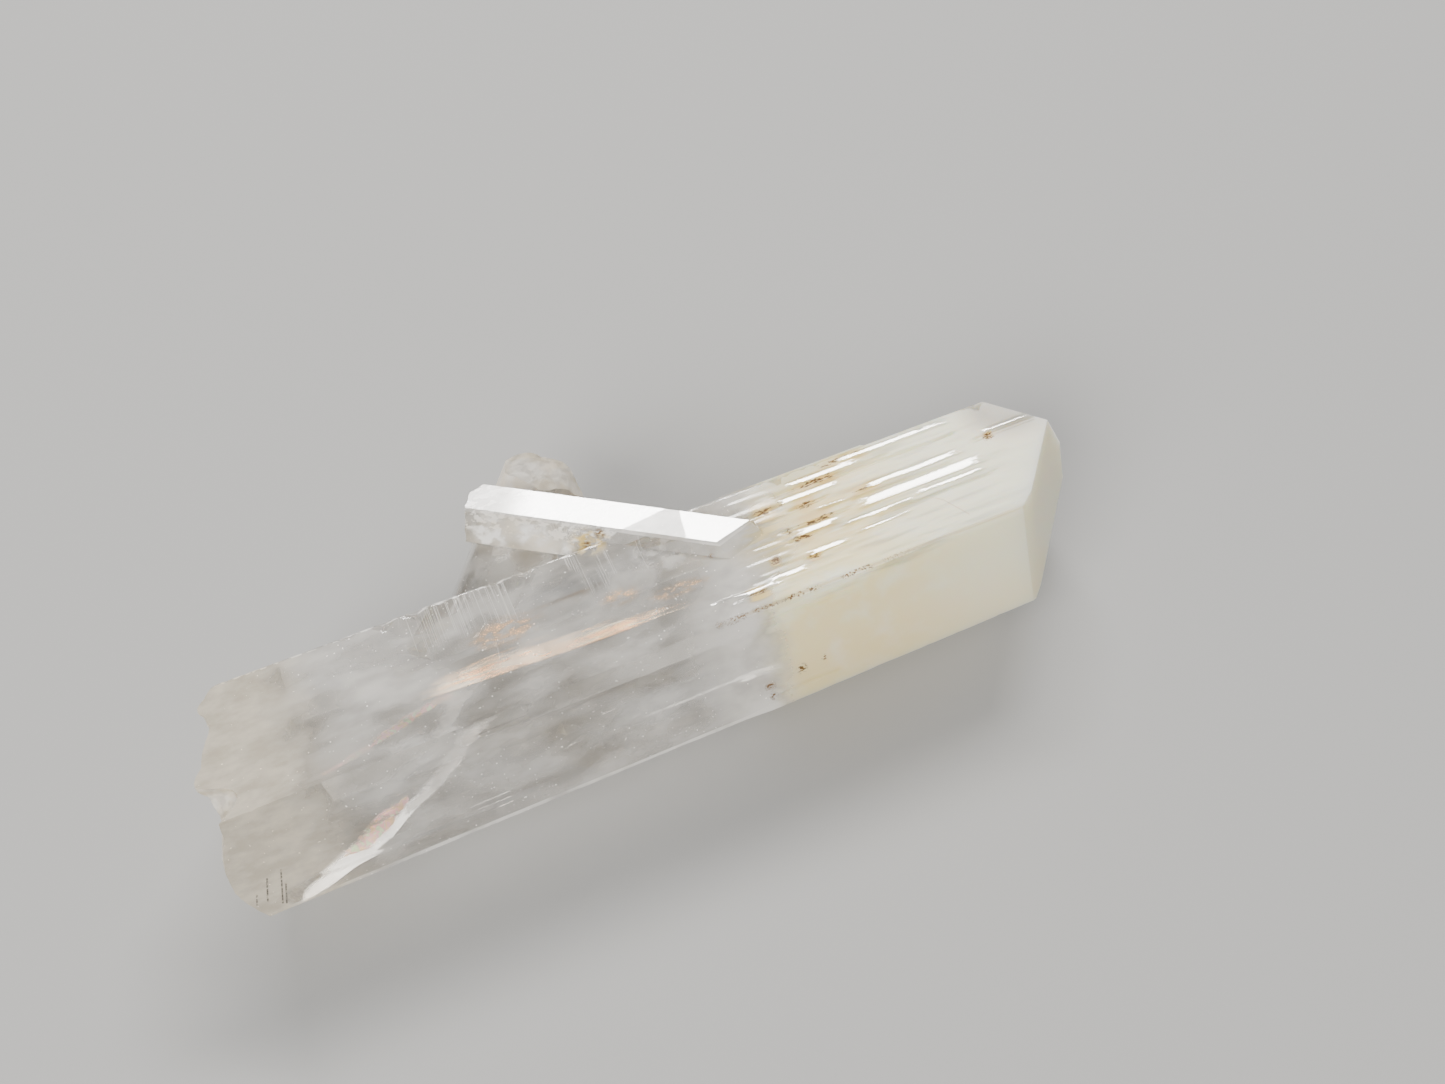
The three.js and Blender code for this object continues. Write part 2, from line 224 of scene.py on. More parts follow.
quartz_material, _, _ = new_material("mango_quartz")
break_material, _, _ = new_material("frosted_break")
deselect_all()
reach = 6 * MM
length = TIP_X - BASE_X + 2 * reach
bpy.ops.mesh.primitive_cylinder_add(
    vertices=6, radius=SIDE_FACE, depth=length, end_fill_type="NGON",
    location=((TIP_X + BASE_X) / 2, 0, MIDDLE), rotation=(0, math.pi / 2, 0))
crystal = bpy.context.object
crystal.name = "mango_quartz"
crystal.data.materials.append(quartz_material)
pick(crystal)
bpy.ops.object.transform_apply(location=True, rotation=True, scale=True)
bpy.ops.object.mode_set(mode="EDIT")
for side in (-1, 1):
    select_by(crystal, "VERT", lambda v: v.co.y * side > 0)
    bpy.ops.transform.translate(value=(0, side * (TOP_FACE - SIDE_FACE) / 2, 0))
for test in (
    lambda f: f.normal.z > 0.9,
    lambda f: 0.4 < f.normal.z < 0.6 and f.normal.y < 0,
    lambda f: 0.4 < f.normal.z < 0.6 and f.normal.y > 0,
):
    select_by(crystal, "FACE", test)
    bpy.ops.mesh.extrude_region_shrink_fatten(
        TRANSFORM_OT_shrink_fatten={"value": SPARE})
bpy.ops.object.mode_set(mode="OBJECT")
print("prism, mm:", [round(v / MM, 2) for v in crystal.dimensions])

# %% [markdown]
# ## Main crystal: the termination
#
# The point of a quartz crystal is made of faces that lean in from the prism faces by the same
# few angles. Each is one cut with a plane, like a lapidary's: bisect keeps the inner side and
# fills the cut. A blunt face closes the end.

# %% Termination
SHOULDER_X = 21.9 * MM


def round_the_axis(angle):
    """Outward direction of a prism face: 0 is back, 90 is up, 180 is front."""
    angle = math.radians(angle)
    return Vector((0, math.cos(angle), math.sin(angle)))


def cut(piece, point, normal):
    pick(piece)
    edit_whole()
    bpy.ops.mesh.bisect(plane_co=point, plane_no=normal, use_fill=True, clear_outer=True)
    bpy.ops.object.mode_set(mode="OBJECT")


TERMINATION = [
    (150, 58, (SHOULDER_X, -HALF_TOP, HEIGHT)),
    (150, 46, (SHOULDER_X + 3.4 * MM, -0.24 * MM, HEIGHT)),
    (30, 49, (SHOULDER_X + 1.6 * MM, HALF_TOP, HEIGHT)),
    (270, 52, (SHOULDER_X + 1.1 * MM, 0, 0)),
    (210, 45, (SHOULDER_X + 0.15 * MM, -HALF_WIDTH, MIDDLE)),
    (330, 50, (SHOULDER_X + 2.6 * MM, HALF_WIDTH, MIDDLE)),
]
for angle, lean, point in TERMINATION:
    lean = math.radians(lean)
    cut(crystal, point, round_the_axis(angle) * math.sin(lean) + Vector((math.cos(lean), 0, 0)))
cut(crystal, (TIP_X, 0, 0), (1, 0, 0))
print("faces after the termination:", len(crystal.data.polygons))

# %% [markdown]
# ## How the faces get their relief
#
# Crystal faces are flat from a step away, but up close they carry growth ledges, grooves and
# a faint waviness that bends every reflection. Each face is cut with a mould: a fine grid,
# moved to the height that the face should have and extruded outwards into a block. Taking
# the block away leaves its print on the crystal, with the edges between faces still sharp.

# %% Moulds
MOULD_THICKNESS = 12


def boolean(piece, other, operation):
    deselect_all()
    bpy.context.view_layer.objects.active = piece
    step = piece.modifiers.new("step", "BOOLEAN")
    step.operation = operation
    step.solver = "EXACT"
    step.material_mode = "TRANSFER"
    step.object = other
    bpy.ops.object.modifier_apply(modifier=step.name)
    bpy.data.objects.remove(other, do_unlink=True)


def mould(origin, axis_u, axis_v, outward, span_u, span_v, pitch, relief, material=None):
    """A block over the given span whose inner side stands relief(u, v) off the plane."""
    u0, u1 = span_u
    v0, v1 = span_v
    columns = round((u1 - u0) / pitch[0])
    rows = round((v1 - v0) / pitch[1])
    deselect_all()
    bpy.ops.mesh.primitive_grid_add(x_subdivisions=columns, y_subdivisions=rows, size=1)
    block = bpy.context.object
    for vertex in block.data.vertices:
        u = u0 + (vertex.co.x + 0.5) * (u1 - u0)
        v = v0 + (vertex.co.y + 0.5) * (v1 - v0)
        vertex.co = origin + axis_u * u + axis_v * v + outward * relief(u, v)
    extrude_whole(outward * MOULD_THICKNESS * MM)
    block.data.materials.append(material or quartz_material)
    return block


def smooth(value, low, high):
    """0 below low, 1 above high, and a smooth step between."""
    t = min(1.0, max(0.0, (value - low) / (high - low)))
    return t * t * (3 - 2 * t)


def wander(a, b, seed, size):
    """Smooth noise between -1 and 1 whose lumps are about size across."""
    return noise.noise(Vector((a / size, b / size, seed)))


print("moulds ready")

# %% [markdown]
# ## The top face
#
# The milky half of the top face is built of long ledges with grooves between them, all along
# the axis. Some of their tops are narrow mirror-flat strips, tilted back by a few degrees, so
# that they flash white in the window's light. The prism edges are nibbled by small chips.

# %% Top face
FLASHING_STRIPS = [
    (10.2, 14.8, 2.90, 0.40), (9.3, 13.0, 2.00, 0.40), (9.4, 11.9, -0.28, 0.44),
    (9.3, 11.7, -1.72, 0.34), (6.8, 8.9, -2.40, 0.36), (4.5, 7.3, -2.66, 0.26),
    (3.1, 4.5, -2.55, 0.12), (13.5, 21.3, 0.10, 0.62), (12.6, 15.8, -1.50, 0.20),
    (12.2, 16.4, -0.75, 0.28), (16.8, 21.0, -0.55, 0.30), (14.2, 20.4, 1.05, 0.40),
    (22.4, 25.3, 1.72, 0.30), (13.6, 20.8, 3.30, 0.40), (11.2, 12.8, 0.75, 0.20),
]
GROOVES = [
    (7.0, 9.4, 1.80, 0.14), (9.3, 16.4, 2.54, 0.16), (9.6, 11.9, 1.30, 0.16),
    (8.7, 13.0, 0.12, 0.16), (8.9, 10.6, -0.62, 0.12), (9.0, 10.4, -1.95, 0.12),
    (4.6, 7.2, -2.86, 0.10), (21.4, 25.6, 1.36, 0.24), (13.2, 19.5, 0.55, 0.12),
    (12.0, 20.8, 2.30, 0.12), (14.0, 21.5, -1.05, 0.10),
]
STRIP_RISE = 0.04
STRIP_TILT = math.tan(math.radians(3.4))
GROOVE_DEPTH = 0.06
random.seed(7)
FINE_LEDGES = []
for _ in range(42):
    start = random.uniform(5.5, 19.0)
    FINE_LEDGES.append((
        start, start + random.uniform(1.5, 6.0), random.uniform(-2.9, 3.5),
        random.uniform(0.10, 0.30), random.uniform(-0.014, 0.014)))


def on_strip(x, y, start, end, middle, width):
    """1 on a long strip and 0 off it, with crisp sides and blunt uneven ends."""
    if not start - 0.3 < x < end + 0.3:
        return 0.0
    middle += 0.03 * wander(x, middle, width, 1.8)
    across = abs(y - middle) - width / 2
    if across > 0.05:
        return 0.0
    ragged = 0.25 * wander(y, middle, 2.7, 0.15)
    ends = smooth(x, start + ragged, start + ragged + 0.15)
    ends *= 1 - smooth(x, end + ragged - 0.15, end + ragged)
    return ends * (1 - smooth(across, -0.04, 0.04))


def ledge_height(x, y, ledges):
    """Height of plain growth ledges at a place on a face, all in mm."""
    return sum(rise * on_strip(x, y, start, end, middle, width)
               for start, end, middle, width, rise in ledges)


def nibble(along, distance, seed):
    """Depth of the wear at a place this far from an edge, in mm."""
    chip = max(0.0, wander(along, 0, seed, 0.9) - 0.18) * 0.9
    chip += max(0.0, wander(along, 3, seed, 0.34) - 0.3) * 0.35
    width = 0.05 + 0.55 * chip
    return (0.02 + 0.45 * chip) * max(0.0, 1 - distance / width)


def top_relief(u, v):
    x, y = u / MM, v / MM
    half_top = HALF_TOP / MM
    height = ledge_height(x, y, FINE_LEDGES)
    for start, end, middle, width in GROOVES:
        height -= GROOVE_DEPTH * on_strip(x, y, start, end, middle, width)
    for start, end, middle, width in FLASHING_STRIPS:
        share = on_strip(x, y, start, end, middle, width)
        height += share * (STRIP_RISE - STRIP_TILT * (y - middle) - height)
    height += 0.03 * wander(x, y * 2.2, 1.5, 7.0) + 0.004 * wander(x, y, 8.1, 0.8)
    front_wear = 0.5 - 0.35 * smooth(x, 2.0, 7.0)
    height -= 1.25 * nibble(x, half_top - y, 4.4) + front_wear * nibble(x, half_top + y, 9.7)
    return height * MM


ALONG, ACROSS, UP = Vector((1, 0, 0)), Vector((0, 1, 0)), Vector((0, 0, 1))
boolean(crystal, mould(
    Vector((0, 0, HEIGHT)), ALONG, ACROSS, UP,
    (BASE_X - 2 * MM, TIP_X + 1 * MM), (-HALF_TOP - 0.6 * MM, HALF_TOP + 0.6 * MM),
    (0.30 * MM, 0.07 * MM), top_relief), "DIFFERENCE")
print("faces with the top face cut:", len(crystal.data.polygons))

# %% [markdown]
# ## The two upper side faces
#
# The front one shows how the milky quartz grew as a thin layer over the clear quartz: it starts
# with a low irregular step and thins out towards the shoulder. The back one has a few broad
# low ledges.

# %% Upper side faces
FRONT_GROWTH = 0.1
LAYER_START = 4.4
LAYER_THICKNESS = 0.16
LAYER_END = SHOULDER_X / MM
FRONT_LEDGES = [
    (5.2, 11.0, 0.9, 0.30, -0.08), (5.2, 9.5, 5.5, 0.22, -0.08), (6.0, 14.5, 0.35, 0.16, 0.05),
    (-21.0, -8.0, 5.1, 0.30, 0.03), (-14.0, 3.0, 1.2, 0.25, -0.03),
]
BACK_LEDGES = [
    (6.5, 16.0, 1.3, 0.70, 0.14), (-17.0, -9.5, 3.5, 0.90, 0.12), (9.0, 21.0, 3.8, 0.50, -0.12),
    (-20.0, -13.0, 1.3, 0.50, -0.10), (-6.0, 12.0, 4.9, 0.3, 0.08), (12.0, 22.0, 2.4, 0.26, 0.06),
]


def front_relief(u, v):
    x, down = u / MM, v / MM
    edge = LAYER_START + 0.5 * wander(down, 0, 2.2, 2.6) - 0.07 * down
    edge += 0.12 * wander(down, 1, 5.2, 0.45)
    layer = LAYER_THICKNESS * (LAYER_END - x) / (LAYER_END - LAYER_START)
    height = FRONT_GROWTH + max(0.0, layer) * smooth(x, edge - 1.0, edge + 1.6)
    height += ledge_height(x, down, FRONT_LEDGES)
    height += 0.03 * wander(x, down * 1.8, 6.5, 6.0) + 0.004 * wander(x, down, 3.1, 0.7)
    front_wear = 0.5 - 0.35 * smooth(x, 2.0, 7.0)
    height -= front_wear * nibble(x, down, 9.7) + 0.25 * nibble(x, SIDE_FACE / MM - down, 12.3)
    return height * MM


def back_relief(u, v):
    x, down = u / MM, v / MM
    height = ledge_height(x, down, BACK_LEDGES) - 0.02
    height += 0.04 * wander(x, down * 1.8, 16.5, 6.0) + 0.006 * wander(x, down, 13.1, 0.8)
    height -= 1.1 * nibble(x, down, 4.4) + 0.8 * nibble(x, SIDE_FACE / MM - down, 22.3)
    return height * MM


for side, relief in ((-1, front_relief), (1, back_relief)):
    outward = round_the_axis(90 - 60 * side)
    down_face = Vector((0, side * math.cos(math.radians(60)), -math.sin(math.radians(60))))
    boolean(crystal, mould(
        Vector((0, side * HALF_TOP, HEIGHT)), ALONG, down_face, outward,
        (BASE_X - 2 * MM, TIP_X + 1 * MM), (-0.6 * MM, SIDE_FACE + 0.6 * MM),
        (0.26 * MM, 0.16 * MM), relief), "DIFFERENCE")
print("faces with the side faces cut:", len(crystal.data.polygons))

# %% [markdown]
# ## The broken base
#
# The crystal was snapped off its matrix. Quartz has no cleavage, so the break is a shell-like
# surface with knobs, hollows and fine ripples. It slopes under the crystal, which is why the
# clear faces above it show it as a frosted patch. The mould carries its own material, and the
# boolean passes it on to the faces that it cuts.

# %% Broken base
BASE_LUMPS = [
    (-0.6, 9.6, 2.2, 0.45), (-5.4, 7.6, 3.0, 0.85), (3.0, 10.6, 1.6, 0.75), (0.9, 6.4, 2.2, -0.9),
    (4.2, 5.6, 2.0, 0.8), (-2.6, 3.6, 2.2, 0.7), (2.0, 2.2, 1.8, -0.6), (-2.8, 10.9, 1.1, -1.3),
    (-1.6, 9.0, 0.9, -1.0), (-1.4, 10.9, 0.8, 0.45), (2.6, 11.1, 0.5, 0.35),
]


def lumps(a, b, places):
    total = 0.0
    for centre_a, centre_b, radius, height in places:
        distance = math.hypot(a - centre_a, b - centre_b) / radius
        if distance < 1:
            total += height * math.cos(distance * math.pi / 2)
    return total


def rubble(a, b, seed, size):
    """Broken quartz: sharp-ridged steps of several sizes."""
    total = 0.0
    share = 1.0
    for octave in range(4):
        total += share * (1 - 2 * abs(wander(a, b, seed + octave, size)))
        share *= 0.5
        size *= 0.47
    return total / 1.9


def base_relief(u, v):
    y, z = u / MM, v / MM
    back_slope = 0.05 * max(0, y + 2.5) ** 2 + 0.008 * min(0, y + 2.5) ** 2
    under_cut = 0.035 * max(0, 8.5 - z) ** 2
    depth = -0.55 - back_slope - under_cut + lumps(y, z, BASE_LUMPS)
    depth += 0.12 * rubble(y, z, 31.0, 1.6) + 0.02 * wander(y, z, 3.0, 0.3) - 0.05
    return depth * MM


boolean(crystal, mould(
    Vector((BASE_X, 0, 0)), ACROSS, UP, -ALONG,
    (-HALF_WIDTH - 1 * MM, HALF_WIDTH + 1 * MM), (-1 * MM, HEIGHT + 1 * MM),
    (0.13 * MM, 0.13 * MM), base_relief, break_material), "DIFFERENCE")
print("faces with the base broken:", len(crystal.data.polygons))

# %% [markdown]
# ## The blade
#
# A second, flattened crystal crosses the first at an angle. Its section is an outline drawn
# as a six-cornered face and extruded along its own axis. Two cuts give it its tip, and its
# free end is broken like the base.

# %% Blade
BLADE_TURN = math.radians(-33.7)
BLADE_TOP = CAD_BOX[1][2]
BLADE_WAIST_DROP = 1.82 * MM
BLADE_BOTTOM = 7.2 * MM
BLADE_SECTION = [
    (3.70 * MM, BLADE_BOTTOM), (4.45 * MM, BLADE_BOTTOM),
    (6.01 * MM, BLADE_TOP - BLADE_WAIST_DROP), (4.96 * MM, BLADE_TOP - 0.075 * MM),
    (3.20 * MM, BLADE_TOP), (2.15 * MM, BLADE_TOP - BLADE_WAIST_DROP),
]
BLADE_START = -10.1 * MM
BLADE_ROOT = 8.5 * MM
BLADE_TIP = 3.75 * MM
blade_along = Vector((math.cos(BLADE_TURN), math.sin(BLADE_TURN), 0))
blade_back = Vector((-math.sin(BLADE_TURN), math.cos(BLADE_TURN), 0))


def on_blade(station, across, height):
    return blade_along * station + blade_back * across + UP * height


def bar(name, corners, run):
    """A straight bar: an outline of corners, extruded by the vector run."""
    deselect_all()
    bpy.ops.mesh.primitive_circle_add(vertices=len(corners), fill_type="NGON")
    piece = bpy.context.object
    piece.name = name
    for vertex, corner in zip(piece.data.vertices, corners):
        vertex.co = corner
    extrude_whole(run)
    piece.data.materials.append(quartz_material)
    return piece


blade_begin = BLADE_START - 3 * MM
blade = bar("blade", [on_blade(blade_begin, a, z) for a, z in BLADE_SECTION],
            blade_along * (BLADE_ROOT - blade_begin))
cut(blade, on_blade(BLADE_TIP, BLADE_SECTION[4][0], BLADE_TOP),
    blade_along * 0.5 - blade_back * 0.4 + UP * 0.77)
cut(blade, on_blade(BLADE_TIP + 1.6 * MM, BLADE_SECTION[3][0], BLADE_TOP),
    blade_along * 0.62 + blade_back * 0.6 + UP * 0.5)


def blade_end_relief(u, v):
    across, up = u / MM, v / MM
    corner = lumps(across, up, [(1.9, 1.9, 1.7, -1.1)])
    return (0.1 - 0.12 * max(0, -up) ** 2 + corner + 0.22 * rubble(across, up, 41.0, 1.1)) * MM


boolean(blade, mould(
    on_blade(BLADE_START, 4.1 * MM, BLADE_TOP - BLADE_WAIST_DROP), blade_back, UP, -blade_along,
    (-3.2 * MM, 3.2 * MM), (-3.6 * MM, 3.2 * MM), (0.12 * MM, 0.12 * MM),
    blade_end_relief, break_material), "DIFFERENCE")
print("blade, mm:", [round(v / MM, 2) for v in blade.dimensions])

# %% [markdown]
# ## The stub
#
# A third crystal rises backwards out of the main one and is broken off short, with a rounded
# knobby end.

# %% Stub
STUB_ROOT = Vector((-6.2, 7.4, 4.4)) * MM
STUB_TIP = Vector((-0.9, 12.55, 7.4)) * MM
STUB_TOP_FACE = 2.6 * MM
STUB_SIDE_FACE = 3.1 * MM
STUB_ROOT_DEPTH = 7.0 * MM
STUB_FLOOR = 0.5 * MM
STUB_ROUNDING = 0.55 * MM
stub_along = (STUB_TIP - STUB_ROOT).normalized()
stub_across = Vector((-0.4, -0.3, 1)).cross(stub_along).normalized()
stub_up = stub_along.cross(stub_across)
stub_half_height = STUB_SIDE_FACE * math.sin(math.radians(60))
stub_half_width = (STUB_TOP_FACE + STUB_SIDE_FACE) / 2
stub_start = STUB_ROOT - stub_along * STUB_ROOT_DEPTH
stub_corners = []
for a, b in ((-0.5 * STUB_TOP_FACE, -1), (0.5 * STUB_TOP_FACE, -1), (stub_half_width, 0),
             (0.5 * STUB_TOP_FACE, 1), (-0.5 * STUB_TOP_FACE, 1), (-stub_half_width, 0)):
    stub_corners.append(stub_start + stub_across * a + stub_up * b * stub_half_height)
stub_length = (STUB_TIP - STUB_ROOT).length
stub = bar("stub", stub_corners, stub_along * (stub_length + STUB_ROOT_DEPTH + 3 * MM))
edit_whole()
bpy.ops.mesh.bevel(offset=STUB_ROUNDING, segments=3, affect="EDGES")
bpy.ops.object.mode_set(mode="OBJECT")
cut(stub, (0, 0, STUB_FLOOR), (0, 0, -1))


def stub_end_relief(u, v):
    across, up = u / MM, v / MM
    dome = 0.12 * across - 0.18 * across ** 2 - 0.2 * up - 0.22 * up ** 2
    knobs = lumps(across, up, [
        (-1.1, 0.4, 1.3, 0.35), (1.6, 0.5, 1.1, 0.25), (0.3, -1.4, 1.2, 0.4)])
    return (0.28 + dome + knobs + 0.16 * rubble(across, up, 51.0, 1.1)) * MM


boolean(stub, mould(
    STUB_TIP, stub_across, stub_up, stub_along, (-4 * MM, 4 * MM), (-4 * MM, 4 * MM),
    (0.14 * MM, 0.14 * MM), stub_end_relief, break_material), "DIFFERENCE")
print("stub, mm:", [round(v / MM, 2) for v in stub.dimensions])

# %% [markdown]
# ## Grown together
#
# The three crystals share one body of quartz, so they are united: light then passes from one
# to the next with no wall between them.

# %% Union
SHARP_EDGE = math.radians(24)
SAME_PLACE = 1e-7
boolean(crystal, blade, "UNION")
boolean(crystal, stub, "UNION")
pick(crystal)
edit_whole()
bpy.ops.mesh.remove_doubles(threshold=SAME_PLACE)
bpy.ops.mesh.normals_make_consistent(inside=False)
bpy.ops.object.mode_set(mode="OBJECT")
bpy.ops.object.shade_smooth_by_angle(angle=SHARP_EDGE)
print("one crystal:", len(crystal.data.polygons), "faces")

# %% [markdown]
# ## Finishes
#
# One finish covers the whole crystal, because the real one is a single body in which only the
# cloudiness and the stains change from place to place. It is a clear glass-like shader. Masks
# that read the object's own coordinates, in millimetres, turn it milky towards the point.

# %% Node helpers


class Recipe:
    """Short hands for wiring up the nodes of one material."""

    def __init__(self, material):
        self.nodes = material.node_tree.nodes
        self.links = material.node_tree.links
        place = self.nodes.new("ShaderNodeTexCoord").outputs["Object"]
        self.place = self.vector("SCALE", place, scale=1 / MM)
        split = self.nodes.new("ShaderNodeSeparateXYZ")
        self.links.new(self.place, split.inputs[0])
        self.x, self.y, self.z = split.outputs

    def feed(self, socket, value):
        if isinstance(value, bpy.types.NodeSocket):
            self.links.new(value, socket)
        else:
            socket.default_value = value

    def vector(self, operation, a, b=None, scale=None, output="Vector"):
        node = self.nodes.new("ShaderNodeVectorMath")
        node.operation = operation
        self.feed(node.inputs[0], a)
        if b is not None:
            self.feed(node.inputs[1], b)
        if scale is not None:
            self.feed(node.inputs["Scale"], scale)
        return node.outputs[output]

    def calc(self, operation, a, b=0.0, c=0.0, clamp=False):
        node = self.nodes.new("ShaderNodeMath")
        node.operation = operation
        node.use_clamp = clamp
        for socket, value in zip(node.inputs, (a, b, c)):
            self.feed(socket, value)
        return node.outputs[0]

    def ramp(self, value, low, high, to_low=0.0, to_high=1.0):
        """A smooth change from to_low to to_high while value runs from low to high."""
        node = self.nodes.new("ShaderNodeMapRange")
        node.interpolation_type = "SMOOTHSTEP"
        for name, number in (("Value", value), ("From Min", low), ("From Max", high),
                             ("To Min", to_low), ("To Max", to_high)):
            self.feed(node.inputs[name], number)
        return node.outputs["Result"]

    def cloud(self, pitch, detail=3.0, rough=0.5, warp=0.0):
        """Noise between 0 and 1 whose lumps measure pitch = (x, y, z) mm."""
        stretch = self.vector("DIVIDE", self.place, tuple(pitch))
        node = self.nodes.new("ShaderNodeTexNoise")
        self.links.new(stretch, node.inputs["Vector"])
        node.inputs["Scale"].default_value = 1.0
        node.inputs["Detail"].default_value = detail
        node.inputs["Roughness"].default_value = rough
        node.inputs["Distortion"].default_value = warp
        return node.outputs["Fac"]

    def patches(self, pitch, low, high, to_low=0.0, to_high=1.0, **kind):
        """Patches of noise: to_low where it is under low, to_high where it is over high."""
        return self.ramp(self.cloud(pitch, **kind), low, high, to_low, to_high)

    def jitter(self, value, grain, swing, centre=0.5):
        """A value moved up and down by a noise, over swing in all."""
        return self.calc("MULTIPLY_ADD", self.calc("SUBTRACT", grain, centre), swing, value)

    def blend(self, share, first, second):
        """Colours mixed by share: 0 gives the first, 1 the second."""
        node = self.nodes.new("ShaderNodeMix")
        node.data_type = "RGBA"
        self.feed(node.inputs["Factor"], share)
        self.feed(node.inputs["A"], first)
        self.feed(node.inputs["B"], second)
        return node.outputs["Result"]

    def length(self, vector):
        return self.vector("LENGTH", vector, output="Value")

    def dot(self, direction):
        """How far a place lies along a direction, in mm."""
        return self.vector("DOT_PRODUCT", self.place, direction, output="Value")

    def stroke(self, start, end, *widths, taper=0.1):
        """Soft lines on the top face from start to end as (x, y) mm, one for each width."""
        slope = (end[1] - start[1]) / (end[0] - start[0])
        middle = self.calc("MULTIPLY_ADD", self.x, slope, start[1] - slope * start[0])
        across = self.calc("ABSOLUTE", self.calc("SUBTRACT", self.y, middle))
        taper = (end[0] - start[0]) * taper
        begun = self.ramp(self.x, start[0] - 0.1, start[0] + taper)
        ended = self.ramp(self.x, end[0] + 0.1, end[0] - taper)
        run = self.calc("MULTIPLY", begun, ended)
        return [self.calc("MULTIPLY", run, self.ramp(across, width, width * 0.3))
                for width in widths]

    def spot(self, centre, radius, stretch=(1, 1, 1)):
        """A soft blot about a place in mm, as wide as radius times stretch."""
        offset = self.vector("DIVIDE", self.vector("SUBTRACT", self.place, centre), stretch)
        return self.ramp(self.length(offset), radius * 0.35, radius, 1.0, 0.0)

    def hair(self, start, end, width):
        """A thin straight line between two places in mm."""
        start, run = Vector(start), Vector(end) - Vector(start)
        step = run / run.length_squared
        share = self.calc("SUBTRACT", self.dot(step), start.dot(step), clamp=True)
        reached = self.vector("ADD", self.vector("SCALE", run, scale=share), start)
        away = self.length(self.vector("SUBTRACT", self.place, reached))
        return self.ramp(away, width, width * 0.4)

    def any_of(self, masks):
        """The strongest of several masks."""
        result = masks[0]
        for mask in masks[1:]:
            result = self.calc("MAXIMUM", result, mask)
        return result

    def all_of(self, *masks):
        """The product of masks and plain shares: strong only where all of them are."""
        result = masks[0]
        for mask in masks[1:]:
            result = self.calc("MULTIPLY", result, mask)
        return result


print("node helpers ready")

# %% [markdown]
# ## Where the quartz turns milky
#
# On the front the milky layer starts with a clear edge, at the same place as its low step. On
# the top face it starts further on and comes up gradually, through streaks along the axis.

# %% Milky zone
quartz = Recipe(quartz_material)
MILK_FRONT = 4.5
MILK_TOP = 6.6
top_share = quartz.ramp(quartz.y, -3.75, -0.2)
streaks = quartz.cloud((5.0, 0.35, 0.9), rough=0.6)
soft_lumps = quartz.cloud((2.2, 1.6, 1.6))
milk_start = quartz.calc("MULTIPLY_ADD", top_share, MILK_TOP - MILK_FRONT, MILK_FRONT)
milk_start = quartz.jitter(milk_start, soft_lumps, 1.6)
fingers = quartz.cloud((3.0, 0.42, 0.42), rough=0.6)
milk_start = quartz.jitter(milk_start, fingers, 1.2, centre=0.55)
milk_run = quartz.calc("MULTIPLY_ADD", top_share, 1.3, 2.7)
milk_end = quartz.calc("ADD", milk_start, milk_run)
milk = quartz.ramp(quartz.x, milk_start, milk_end)
bloom_start = quartz.calc("SUBTRACT", milk_start, 6.5)
bloom = quartz.all_of(quartz.ramp(quartz.x, bloom_start, milk_start),
                      quartz.ramp(soft_lumps, 0.25, 0.65, 0.30, 0.56))

on_top = quartz.ramp(quartz.z, HEIGHT / MM - 0.6, HEIGHT / MM - 0.35)
window_patch = quartz.spot((7.6, -0.2, 11.0), 1.9, (1.0, 0.75, 1.0))
back_strip = quartz.all_of(quartz.ramp(quartz.y, 2.2, 3.3), quartz.ramp(quartz.x, 20.0, 9.0))
clear_streaks = quartz.ramp(streaks, 0.45, 0.68, 0.0, 0.42)
clear_share = quartz.any_of([
    quartz.all_of(clear_streaks, quartz.ramp(quartz.x, 16.0, 24.0, 1.0, 0.2)),
    quartz.all_of(window_patch, 0.45), quartz.all_of(back_strip, 0.4),
    quartz.all_of(quartz.spot((24.6, 3.0, 11.0), 4.2, (1.0, 0.7, 1.0)), 0.5)])
clear_share = quartz.any_of([quartz.all_of(on_top, clear_share), quartz.all_of(
    quartz.spot((25.2, 3.6, 10.6), 3.4), 0.7)])
milk_depth = quartz.all_of(milk, quartz.calc("SUBTRACT", 1.0, clear_share))

# %% [markdown]
# ## Rust in the grooves
#
# Iron stains settled where the ledges leave a groove, as thin broken brown lines with a
# yellow halo around them, and as small spots where a ledge ends. More specks sit along the
# front edge of the top face, on the front face and on the base.

